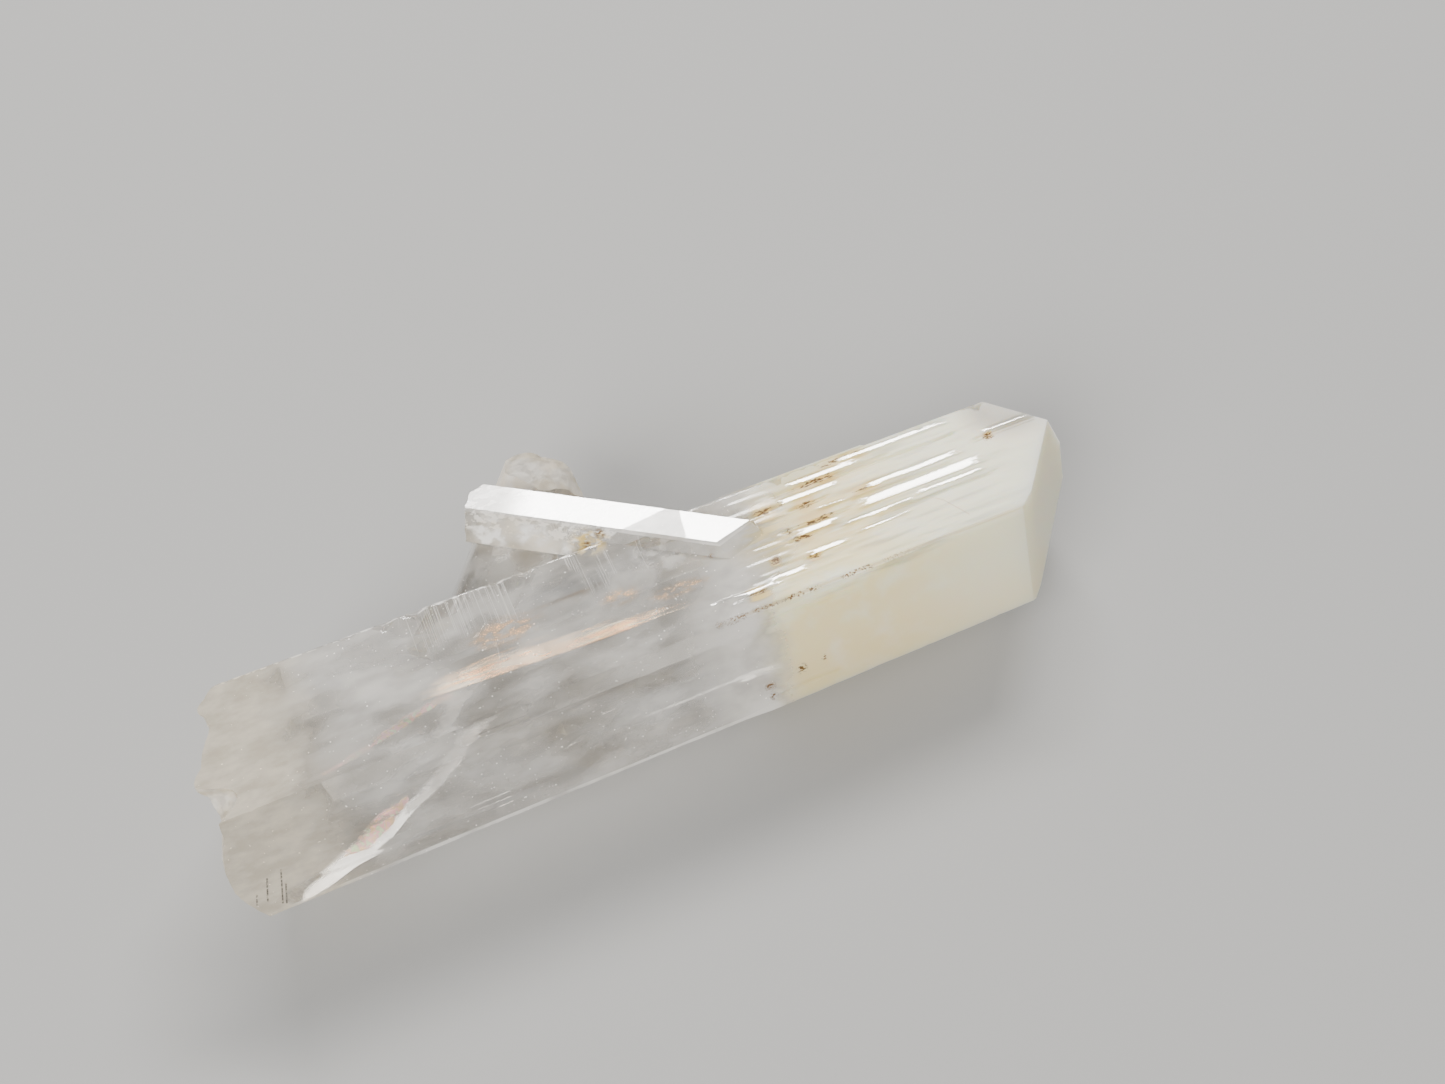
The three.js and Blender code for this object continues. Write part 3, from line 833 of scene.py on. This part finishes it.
# %% Rust
RUST_LINES = [
    ((7.0, 1.86), (9.6, 1.74), 0.17), ((9.3, 2.50), (14.5, 2.58), 0.13),
    ((9.6, 1.22), (11.8, 1.38), 0.15), ((8.7, 0.02), (13.0, 0.20), 0.13),
    ((8.9, -0.55), (10.5, -0.70), 0.12), ((9.0, -1.92), (10.3, -1.98), 0.13),
    ((6.9, -1.43), (8.1, -1.40), 0.18), ((4.6, -2.84), (7.1, -2.88), 0.09),
    ((22.0, 1.30), (23.1, 1.34), 0.18), ((11.0, 3.30), (17.0, 3.42), 0.10),
    ((12.6, 0.9), (16.0, 1.0), 0.06),
]
RUST_SPOTS = [
    ((9.45, 1.95, 11.1), 0.30), ((7.2, 1.92, 11.1), 0.26), ((9.0, 0.05, 11.1), 0.32),
    ((9.2, -0.60, 11.1), 0.28), ((7.6, -1.35, 11.1), 0.34), ((22.4, 1.25, 11.1), 0.34),
    ((4.0, 0.3, 11.9), 0.26), ((5.0, -6.35, 7.0), 0.40), ((5.1, -6.65, 6.4), 0.34),
    ((7.0, -6.2, 7.3), 0.42), ((3.1, -3.8, 11.1), 0.28), ((-24.0, -1.35, 9.0), 0.7),
    ((8.4, -6.1, 7.4), 0.24), ((-0.6, 4.0, 11.5), 0.45), ((-1.4, 4.1, 10.8), 0.35),
    ((4.5, 0.33, 11.1), 0.22), ((-5.0, 5.8, 9.8), 0.25),
]
SCRATCHES = [
    ((-23.32, -6.22, 6.93), (-23.53, -6.50, 6.44)), ((-22.56, -5.88, 7.51), (-22.99, -6.51, 6.41)),
    ((-21.79, -5.79, 7.67), (-22.40, -6.75, 6.01)), ((-21.87, -6.24, 6.89), (-22.23, -6.79, 5.93)),
]
rust_strokes = [
    quartz.stroke(a, b, width * 2.4, min(width * 8, (b[0] - a[0]) * 0.42), taper=0.45)
    for a, b, width in RUST_LINES]
rust_lines = quartz.any_of([stroke[0] for stroke in rust_strokes])
rust_grit = quartz.cloud((0.35, 0.09, 0.3), detail=2.5, rough=0.7)
rust_lines = quartz.ramp(quartz.jitter(rust_lines, rust_grit, 2.4), 0.82, 1.05)
grains = quartz.patches((0.13, 0.11, 0.13), 0.50, 0.60, detail=1.0)
from_edge = quartz.calc("ABSOLUTE", quartz.calc("ADD", quartz.y, 3.80))
at_height = quartz.ramp(quartz.z, 10.7, 10.85)
edge_specks = quartz.all_of(
    quartz.ramp(from_edge, 0.20, 0.08), at_height, grains,
    quartz.patches((0.9, 5.0, 5.0), 0.36, 0.52, detail=1.0),
    quartz.ramp(quartz.x, 2.6, 4.0), quartz.ramp(quartz.x, 16.0, 11.0))
edge_tint = quartz.all_of(quartz.ramp(from_edge, 0.12, 0.04), at_height,
                          quartz.ramp(quartz.x, 2.6, 6.0), quartz.ramp(quartz.x, 23.0, 20.0))
spots = quartz.any_of([quartz.spot(*spot) for spot in RUST_SPOTS])
spots = quartz.all_of(spots, quartz.patches((0.20, 0.12, 0.12), 0.42, 0.54, detail=1.5))
rust = quartz.any_of([quartz.all_of(rust_lines, on_top), edge_specks, spots])
halo = quartz.any_of([stroke[1] for stroke in rust_strokes])
halo = quartz.all_of(quartz.ramp(quartz.jitter(halo, streaks, 1.3), 0.3, 0.95), on_top)
stain = quartz.all_of(quartz.spot((10.8, 0.3, 11.1), 5.0, (1.3, 0.8, 1.0)), on_top,
                      quartz.patches((2.4, 0.30, 0.6), 0.34, 0.58))
blade_stain = quartz.all_of(quartz.spot((-1.2, 4.0, 10.9), 1.3, (1.3, 1.0, 0.9)),
                            quartz.patches((0.7, 0.5, 0.4), 0.36, 0.60, detail=2.5))
scratches = quartz.any_of([quartz.hair(a, b, 0.06) for a, b in SCRATCHES])
scratches = quartz.all_of(scratches, quartz.ramp(rust_grit, 0.34, 0.52))

# %% [markdown]
# ## Marks on the clear half
#
# The clear faces are not empty glass. A faint haze lies over them in patches, fine growth
# lines cross the top face near its back edge, the back top edge is frosted by wear, and pinprick
# bubbles catch the light. A pale line along the lower front edge and soft glints on the blade's
# front face are painted highlights. All of them are thin, so they only take away a share of the
# transmission.

# %% Marks
growth_lines = quartz.all_of(
    quartz.patches((0.05, 9.0, 4.0), 0.48, 0.66, detail=1.0), on_top,
    quartz.ramp(quartz.y, -1.2, 2.0), quartz.patches((1.3, 6.0, 6.0), 0.34, 0.54, detail=0.0),
    quartz.ramp(quartz.x, -14.0, -11.0))
haze = quartz.patches((4.0, 1.8, 1.8), 0.32, 0.70, 0.06, 0.34, detail=3.5)
top_cloud = quartz.spot((-15.5, 1.2, 11.0), 7.0, (1.2, 0.6, 0.5))
haze = quartz.calc("ADD", haze, quartz.all_of(top_cloud, 0.14))
near_base = quartz.ramp(quartz.calc("MULTIPLY_ADD", soft_lumps, 3.0, quartz.x), -14.8, -19.2)
clear_gap = quartz.hair((-21.6, -6.75, 6.1), (-18.5, -6.4, 6.6), 0.75)
near_base = quartz.all_of(near_base, quartz.calc("MULTIPLY_ADD", clear_gap, -0.7, 1.0))
base_frost = quartz.all_of(near_base, quartz.patches(
    (1.8, 0.9, 0.9), 0.28, 0.72, 0.36, 0.58, detail=4.0, rough=0.6))
pinpricks = quartz.patches((0.13, 0.13, 0.13), 0.80, 0.84, detail=0.0)
top_back = quartz.all_of(quartz.ramp(quartz.y, 3.46, 3.62), quartz.ramp(quartz.z, 10.6, 10.9))
# A pale strip along the lower front edge: a painted highlight, not wear.
lower_edge_highlight = quartz.ramp(quartz.y, -6.86, -6.90)
frost = quartz.patches((0.6, 0.3, 0.3), 0.42, 0.58, detail=2.5)
# Real frost on the back top edge, joined with the painted highlight of the lower front edge.
frost_and_edge_highlight = quartz.any_of([
    quartz.all_of(top_back, frost),
    quartz.all_of(lower_edge_highlight, quartz.ramp(soft_lumps, 0.3, 0.6, 0.4, 0.7))])
blade_front = quartz.all_of(quartz.spot((-5.0, 6.2, 10.4), 4.6, (1.0, 0.8, 0.45)),
                            quartz.ramp(quartz.z, 8.6, 9.4), quartz.ramp(quartz.z, 11.84, 11.7))
blade_lumps = quartz.patches((2.0, 1.5, 1.3), 0.30, 0.66, 0.38, 0.72)
# Painted highlights: soft pale glints laid into the colour and cover of the blade's front face.
painted_blade_glints = quartz.any_of([
    quartz.spot((-6.0, 7.1, 10.6), 1.7), quartz.spot((-3.9, 5.8, 10.9), 1.4, (1.3, 1.0, 0.8)),
    quartz.spot((-2.6, 4.6, 10.2), 1.1, (1.2, 1.0, 0.7))])
painted_blade_glints = quartz.all_of(
    painted_blade_glints, quartz.ramp(quartz.z, 11.80, 11.6),
    quartz.patches((0.8, 0.6, 0.6), 0.32, 0.62, 0.15, 1.0))
top_crack = quartz.any_of([
    quartz.hair((-7.95, 0.35, 11.1), (-8.12, -1.0, 11.1), 0.06),
    quartz.hair((-8.12, -1.0, 11.1), (-8.05, -2.7, 11.1), 0.05)])
junction = quartz.all_of(quartz.spot((2.6, 1.9, 11.3), 3.4, (1.0, 0.7, 0.6)),
                         quartz.patches((0.9, 0.7, 0.7), 0.35, 0.66, 0.1, 0.42))
stub_frost = quartz.all_of(quartz.ramp(quartz.y, 9.4, 10.8), 0.85)
# Real haze, frost and stains, together with the painted highlights of the blade and the lower
# front edge.
cloudiness_and_highlights = quartz.any_of([
    haze, quartz.all_of(quartz.ramp(quartz.z, 11.62, 11.72), blade_lumps),
    quartz.all_of(growth_lines, 0.45), quartz.all_of(frost_and_edge_highlight, 0.85),
    pinpricks, quartz.all_of(blade_front, blade_lumps), quartz.all_of(painted_blade_glints, 0.92),
    junction, stub_frost, base_frost, bloom, quartz.all_of(blade_stain, 0.7), scratches,
    quartz.all_of(top_crack, 0.3)])
copper_zone = quartz.any_of([
    quartz.spot((-7.4, 0.55, 11.1), 1.5, (1.8, 0.75, 1.0)),
    quartz.spot((-1.0, 0.0, 11.1), 1.1, (1.3, 0.6, 1.0)),
    quartz.spot((2.0, -0.85, 11.1), 1.1, (2.1, 0.5, 1.0))])
copper_zone = quartz.all_of(
    copper_zone, on_top, quartz.patches((0.9, 0.4, 0.5), 0.36, 0.60, rough=0.65))
copper = quartz.all_of(copper_zone, quartz.patches((0.08, 0.08, 0.2), 0.63, 0.68, detail=0.0))

# %% [markdown]
# The masks are now turned into a finish. Colours are laid one over the other from clear quartz
# up to the rust, and whatever covers the quartz takes its transmission away. The milky end
# scatters light below its surface, most of all the red, which keeps it warm.

# %% Quartz finish
QUARTZ_IOR = 1.544
MILK_REACH = (1.0, 0.80, 0.50)
MILK_DEPTH = 3.2 * MM
CLEAR = (0.965, 0.935, 0.885, 1)
BASE_BEIGE = (0.87, 0.79, 0.65, 1)
# PAINTED_GLINT is the colour of the painted highlights on the blade's front face.
PAINTED_GLINT = (1.0, 0.98, 0.94, 1)
TIP_GREY = (0.66, 0.62, 0.53, 1)
CREAM = (0.96, 0.885, 0.67, 1)
STRAW = (0.92, 0.80, 0.46, 1)
OCHRE = (0.80, 0.62, 0.31, 1)
HALO = (0.82, 0.59, 0.19, 1)
STAIN = (0.88, 0.71, 0.30, 1)
RUST = (0.15, 0.075, 0.018, 1)
COPPER = (0.98, 0.56, 0.25, 1)
EDGE_TINT = (0.62, 0.50, 0.28, 1)
SCRATCH_GREY = (0.07, 0.06, 0.05, 1)
STUB_BEIGE = (0.78, 0.69, 0.55, 1)
low_down = quartz.all_of(quartz.ramp(quartz.z, 9.0, 5.3), quartz.ramp(quartz.y, -3.8, -5.5))
low_down = quartz.all_of(low_down, quartz.ramp(quartz.x, 24.0, 6.0, 0.45, 1.0))
yellow = quartz.all_of(quartz.ramp(quartz.x, 20.0, 11.0), quartz.ramp(soft_lumps, 0.30, 0.56))
body = quartz.blend(quartz.all_of(yellow, 0.95), CREAM, STRAW)
body = quartz.blend(quartz.all_of(low_down, 0.7), body, OCHRE)
body = quartz.blend(quartz.spot((25.0, 3.4, 10.6), 4.0), body, TIP_GREY)
stub_patches = quartz.patches((0.9, 0.9, 0.9), 0.35, 0.6, 0.45, 1.0)
hairline = quartz.any_of([
    quartz.hair((17.2, -1.0, 11.1), (17.9, -1.6, 11.1), 0.06),
    quartz.hair((17.9, -1.6, 11.1), (18.7, -3.05, 11.1), 0.06)])
tints = [
    (quartz.all_of(stub_frost, stub_patches), STUB_BEIGE),
    (near_base, BASE_BEIGE),
    (blade_front, BASE_BEIGE),
    (painted_blade_glints, PAINTED_GLINT),
    (milk, body),
    (quartz.all_of(stain, 0.9), STAIN),
    (quartz.any_of([blade_stain, quartz.all_of(halo, 0.85)]), HALO),
    (quartz.all_of(edge_tint, 0.6), EDGE_TINT),
    (quartz.any_of([copper, quartz.all_of(copper_zone, 0.7)]), COPPER),
    (rust, RUST),
    (scratches, SCRATCH_GREY),
    (quartz.all_of(hairline, 0.6), EDGE_TINT),
]
colour = CLEAR
for mask, tint in tints:
    colour = quartz.blend(mask, colour, tint)
cover = quartz.any_of([
    quartz.all_of(milk_depth, 0.95), rust, copper, cloudiness_and_highlights,
    quartz.all_of(halo, 0.85), quartz.all_of(stain, 0.75),
    quartz.all_of(copper_zone, 0.38)])
see_through = quartz.calc("SUBTRACT", 1.0, cover)
satin = quartz.all_of(milk, 0.34)
roughness = quartz.calc("ADD", satin, quartz.calc("MULTIPLY_ADD", rust, 0.4, 0.02))
roughness = quartz.calc("ADD", roughness, quartz.all_of(stub_frost, 0.6))

shader = quartz.nodes["Principled BSDF"]
shader.inputs["IOR"].default_value = QUARTZ_IOR
quartz.feed(shader.inputs["Base Color"], colour)
quartz.feed(shader.inputs["Transmission Weight"], see_through)
quartz.feed(shader.inputs["Roughness"], roughness)
quartz.feed(shader.inputs["Subsurface Weight"], milk)
shader.inputs["Subsurface Radius"].default_value = MILK_REACH
shader.inputs["Subsurface Scale"].default_value = MILK_DEPTH
print("layers of colour:", len(tints))

# %% [markdown]
# The flat strips and the top of the blade are so smooth that they mirror the window whole. A
# coat over just these places lifts their shine. Clear quartz also takes a little light from
# what passes through it, so the body has a faint absorption.

# %% Shine and absorption
COAT_IOR = 2.3
ABSORPTION_TINT = (0.93, 0.925, 0.90, 1)
ABSORPTION_PER_METRE = 25
strips = quartz.any_of([
    quartz.stroke((start, middle), (end, middle), width * 0.6)[0]
    for start, end, middle, width in FLASHING_STRIPS])
station = quartz.dot(blade_along)
across_blade = quartz.dot(blade_back)
dull_from = quartz.calc("MULTIPLY_ADD", across_blade, 1.14, -5.1)
dull_to = quartz.calc("MULTIPLY_ADD", across_blade, -0.41, 3.4)
before = quartz.calc("SUBTRACT", station, dull_from)
after = quartz.calc("SUBTRACT", station, dull_to)
blade_shine = quartz.any_of([
    quartz.ramp(before, 0.06, -0.06), quartz.ramp(after, -0.06, 0.06)])
blade_shine = quartz.all_of(
    blade_shine, quartz.ramp(station, -8.6, -6.4),
    quartz.ramp(quartz.z, BLADE_TOP / MM - 0.14, BLADE_TOP / MM - 0.10))
coat = quartz.any_of([quartz.all_of(strips, on_top), blade_shine])
quartz.feed(shader.inputs["Coat Weight"], coat)
shader.inputs["Coat IOR"].default_value = COAT_IOR
shader.inputs["Coat Roughness"].default_value = 0.05
absorption = quartz.nodes.new("ShaderNodeVolumeAbsorption")
absorption.inputs["Color"].default_value = ABSORPTION_TINT
absorption.inputs["Density"].default_value = ABSORPTION_PER_METRE
quartz.links.new(absorption.outputs[0], quartz.nodes["Material Output"].inputs["Volume"])
print("node count of the quartz finish:", len(quartz.nodes))

# %% [markdown]
# A break in quartz is frosted like ground glass: still quartz, but rough, half covered by
# crumbs and a little stained. Rust has settled in one pit.

# %% Broken quartz finish
BREAK_PALE = (0.93, 0.89, 0.81, 1)
BREAK_STAINED = (0.82, 0.73, 0.57, 1)
PIT_RUST = (0.35, 0.16, 0.04, 1)
BREAK_ROUGHNESS = 0.6
GRIT_HEIGHT = 0.12 * MM
broken = Recipe(break_material)
crumbs = broken.cloud((0.55, 0.5, 0.5), detail=4.5, rough=0.62)
stains = broken.cloud((2.0, 1.4, 1.4))
pit_rust = broken.any_of([
    broken.spot((-23.6, -1.5, 9.2), 0.8), broken.spot((-22.2, -2.6, 10.6), 0.35)])
pit_rust = broken.all_of(pit_rust, broken.ramp(crumbs, 0.38, 0.55))
break_colour = broken.blend(broken.ramp(stains, 0.35, 0.65), BREAK_PALE, BREAK_STAINED)
break_colour = broken.blend(pit_rust, break_colour, PIT_RUST)
break_cover = broken.ramp(crumbs, 0.35, 0.65, 0.35, 0.68)
break_cover = broken.any_of([break_cover, pit_rust])
shader = broken.nodes["Principled BSDF"]
shader.inputs["IOR"].default_value = QUARTZ_IOR
shader.inputs["Roughness"].default_value = BREAK_ROUGHNESS
broken.feed(shader.inputs["Base Color"], break_colour)
break_clear = broken.calc("SUBTRACT", 1.0, break_cover)
broken.feed(shader.inputs["Transmission Weight"], break_clear)
grit = broken.nodes.new("ShaderNodeBump")
grit.inputs["Strength"].default_value = 0.6
grit.inputs["Distance"].default_value = GRIT_HEIGHT
broken.feed(grit.inputs["Height"], crumbs)
broken.feed(shader.inputs["Normal"], grit.outputs["Normal"])

# %% [markdown]
# ## Veils and healed cracks
#
# Clear quartz is seldom empty. Old cracks that healed leave thin films of tiny bubbles, which
# show as white veils, and open ones flash like mirrors, some with rainbow colours. Each is
# modelled as a thin sheet stretched between two edges, hanging inside the crystal. The sheet
# is a grid whose points are moved between the edges, and Solidify closes it.

# %% Veil helpers
VEIL_THICKNESS = 0.015 * MM


def along(points, share):
    """The place at a share of the way along a smooth line through the points."""
    spot = share * (len(points) - 1)
    i = min(int(spot), len(points) - 2)
    t = spot - i
    p0, p1 = points[max(i - 1, 0)], points[i]
    p2, p3 = points[i + 1], points[min(i + 2, len(points) - 1)]
    return 0.5 * (2 * p1 + (p2 - p0) * t + (2 * p0 - 5 * p1 + 4 * p2 - p3) * t * t
                  + (3 * p1 - p0 - 3 * p2 + p3) * t * t * t)


def veil(name, upper, lower, material, ripple=0.12, columns=48, rows=10):
    """A thin rippled sheet between two edges, given as lists of places in mm."""
    upper = [Vector(p) for p in upper]
    lower = [Vector(p) for p in lower]
    deselect_all()
    bpy.ops.mesh.primitive_grid_add(x_subdivisions=columns, y_subdivisions=rows, size=1)
    sheet = bpy.context.object
    sheet.name = name
    for vertex in sheet.data.vertices:
        u, v = vertex.co.x + 0.5, vertex.co.y + 0.5
        high, low = along(upper, u), along(lower, u)
        side = (high - low).cross(upper[-1] - upper[0]).normalized()
        place = low.lerp(high, v)
        vertex.co = (place + side * ripple * wander(place.x, place.z, len(name), 1.3)) * MM
    wall = sheet.modifiers.new("wall", "SOLIDIFY")
    wall.thickness = VEIL_THICKNESS
    wall.offset = 0
    bpy.ops.object.modifier_apply(modifier=wall.name)
    bpy.ops.object.shade_smooth()
    sheet.data.materials.append(material)
    return sheet


def veil_material(name, colour, strength, pitch, crisp=0.4, ragged=0.9, mirror=0.0,
                  rough=0.3, fade=0.3):
    """A film that feathers out in patches towards its edges, least at its lower one.

    pitch is the size of the patches in mm, crisp and fade are how far in from the lower edge
    and from its start the film gets thick, and ragged is how torn it is."""
    material, _, _ = new_material(name)
    film = Recipe(material)
    uv = film.nodes.new("ShaderNodeTexCoord").outputs["UV"]
    split = film.nodes.new("ShaderNodeSeparateXYZ")
    film.links.new(uv, split.inputs[0])
    u, v = split.outputs[0], split.outputs[1]
    body = film.all_of(film.ramp(u, 0.0, fade), film.ramp(u, 1.0, 0.7),
                       film.ramp(v, 0.0, crisp), film.ramp(v, 1.0, 0.3))
    grain = film.cloud(pitch, rough=0.6)
    body = film.all_of(
        film.ramp(film.jitter(body, grain, ragged * 2), 0.15, 1.0),
        film.ramp(u, 0.0, fade / 3), film.ramp(u, 1.0, 0.9),
        film.ramp(v, 0.0, 0.08), film.ramp(v, 1.0, 0.85))
    shader = film.nodes["Principled BSDF"]
    shader.inputs["Base Color"].default_value = (*colour, 1)
    shader.inputs["Roughness"].default_value = rough
    shader.inputs["Metallic"].default_value = mirror
    film.feed(shader.inputs["Alpha"], film.all_of(body, strength))
    return material, film


print("veil helpers ready")

# %% [markdown]
# Each film is placed by pairs of points along its two long edges. The flashing one lies at the
# tilt that sends the window's light to the viewer. The peach one is no crack but painted light:
# a glow for the window's light that the crystal focuses onto the table beneath it.

# %% Veils
mirror_film, _ = veil_material(
    "mirror_film", (1.0, 1.0, 1.0), strength=1.0, pitch=(3.0, 1.2, 1.2),
    crisp=0.12, ragged=0.3, mirror=0.6, rough=0.16, fade=0.06)
white_film, _ = veil_material(
    "white_film", (1.0, 0.99, 0.97), strength=0.95, pitch=(2.2, 0.5, 0.5),
    crisp=0.25, ragged=0.8, mirror=0.5, rough=0.35, fade=0.15)
# Painted light: a peach glow that stands in for window light focused onto the table under the
# crystal, seen through its top face.
peach_glow_film, peach = veil_material(
    "peach_glow_film", (1.0, 0.72, 0.42), strength=0.95, pitch=(4.0, 0.20, 0.5),
    crisp=0.10, ragged=0.7, mirror=0.9, rough=0.22)
peach.feed(peach.nodes["Principled BSDF"].inputs["Base Color"], peach.blend(
    peach.patches((3.0, 0.14, 0.4), 0.40, 0.62),
    (1.0, 0.58, 0.27, 1), (1.0, 0.85, 0.64, 1)))
haze_film, _ = veil_material(
    "haze_film", (0.90, 0.905, 0.91), strength=0.5, pitch=(2.5, 1.6, 1.6), ragged=0.8)
rainbow_film, rainbow = veil_material(
    "rainbow_film", (1, 1, 1), strength=0.95, pitch=(0.9, 0.40, 0.4),
    crisp=0.3, ragged=1.2, mirror=0.8, fade=0.2)
bands = rainbow.cloud((0.45, 0.7, 0.5), detail=1.0, warp=1.4)
rainbow.feed(rainbow.nodes["Principled BSDF"].inputs["Base Color"], rainbow.blend(
    rainbow.ramp(bands, 0.52, 0.66), rainbow.blend(
        rainbow.ramp(bands, 0.40, 0.5), (1.0, 0.66, 0.34, 1), (0.98, 0.50, 0.52, 1)),
    (0.74, 0.95, 0.56, 1)))

veils = [
    veil("flashing_crack",
         [(-21.75, -5.37, 4.55), (-20.28, -4.11, 4.47), (-18.71, -2.93, 4.36),
          (-17.18, -2.80, 4.12), (-16.15, -2.07, 4.04), (-15.06, -1.36, 3.95),
          (-13.19, 0.01, 3.81), (-11.23, 1.54, 3.69)],
         [(-21.84, -6.11, 4.46), (-20.42, -5.83, 4.26), (-18.81, -5.11, 4.08),
          (-17.22, -4.37, 3.91), (-16.10, -3.47, 3.84), (-14.99, -2.49, 3.79),
          (-13.19, -1.18, 3.65), (-11.12, 0.75, 3.56)],
         mirror_film, 0.012),
    veil("rainbow_crack",
         [(-19.2, -5.2, 6.24), (-17.65, -3.95, 6.15), (-16.1, -2.85, 6.05),
          (-14.6, -2.0, 5.91)],
         [(-19.2, -5.5, 6.20), (-17.4, -5.45, 5.91), (-15.9, -4.35, 5.81),
          (-14.5, -2.6, 5.81)],
         rainbow_film, 0.05),
    veil("soft_crack",
         [(-15.8, -4.3, 6.9), (-14.6, -3.6, 6.8), (-13.4, -2.2, 6.77),
          (-12.0, -0.8, 6.74), (-10.9, -0.1, 6.67), (-9.0, 0.8, 6.5)],
         [(-15.7, -5.2, 6.7), (-14.6, -4.6, 6.67), (-13.3, -3.9, 6.54),
          (-11.7, -2.5, 6.47), (-10.4, -1.2, 6.43), (-8.2, -0.1, 6.25)],
         white_film, 0.10),
    veil("pink_crack",
         [(-18.8, -3.3, 10.7), (-17.1, -2.75, 10.2), (-14.3, -1.6, 9.3),
          (-11.8, -0.75, 8.8), (-9.4, -0.4, 8.5)],
         [(-18.6, -3.5, 10.7), (-16.9, -3.1, 10.2), (-14.5, -2.4, 9.5),
          (-12.4, -1.7, 9.0), (-9.6, -0.95, 8.6)],
         rainbow_film, 0.06),
    # Painted light, not a crack: the peach glow seen through the top face.
    veil("peach_crack",
         [(-13.9, 0.2, 9.2), (-11.4, 0.5, 8.9), (-8.73, 0.7, 8.6), (-6.72, 0.6, 8.45),
          (-4.14, 0.4, 8.3), (-1.3, -0.05, 8.1), (1.61, -0.15, 8.0), (4.6, -0.5, 7.9)],
         [(-13.9, -0.9, 9.2), (-11.5, -1.05, 8.9), (-8.99, -1.1, 8.6),
          (-6.74, -1.1, 8.45), (-4.6, -1.15, 8.3), (-1.5, -1.15, 8.1),
          (1.31, -1.1, 8.0), (4.4, -1.3, 7.9)],
         peach_glow_film, 0.03),
    veil("left_veil",
         [(-17.0, -3.0, 8.4), (-14.8, -2.4, 8.8), (-12.4, -1.6, 9.0)],
         [(-16.6, -4.2, 7.0), (-14.4, -3.4, 7.6), (-12.0, -2.6, 8.0)],
         haze_film, 0.2),
    veil("front_haze",
         [(-7.0, -3.4, 9.6), (-2.0, -3.2, 9.8), (2.0, -3.2, 9.9), (5.2, -3.1, 9.9)],
         [(-6.0, -5.6, 5.8), (-2.0, -5.6, 5.8), (2.0, -5.6, 5.7), (5.2, -5.7, 5.7)],
         haze_film, 0.25),
    veil("top_haze",
         [(-1.2, 3.6, 9.4), (0.8, 3.4, 9.6), (2.8, 2.9, 9.6)],
         [(-2.0, 0.0, 9.2), (-0.2, -0.4, 9.4), (1.6, -0.9, 9.6)],
         haze_film, 0.2),
]
print("veils:", len(veils))

# %% [markdown]
# ## The pieces in place
#
# Every piece moves with the one rigid body. The fine crystal takes the place of the plain
# solid.

# %% Finish
for piece in [crystal, *veils]:
    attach(piece, "root")
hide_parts("crystal")
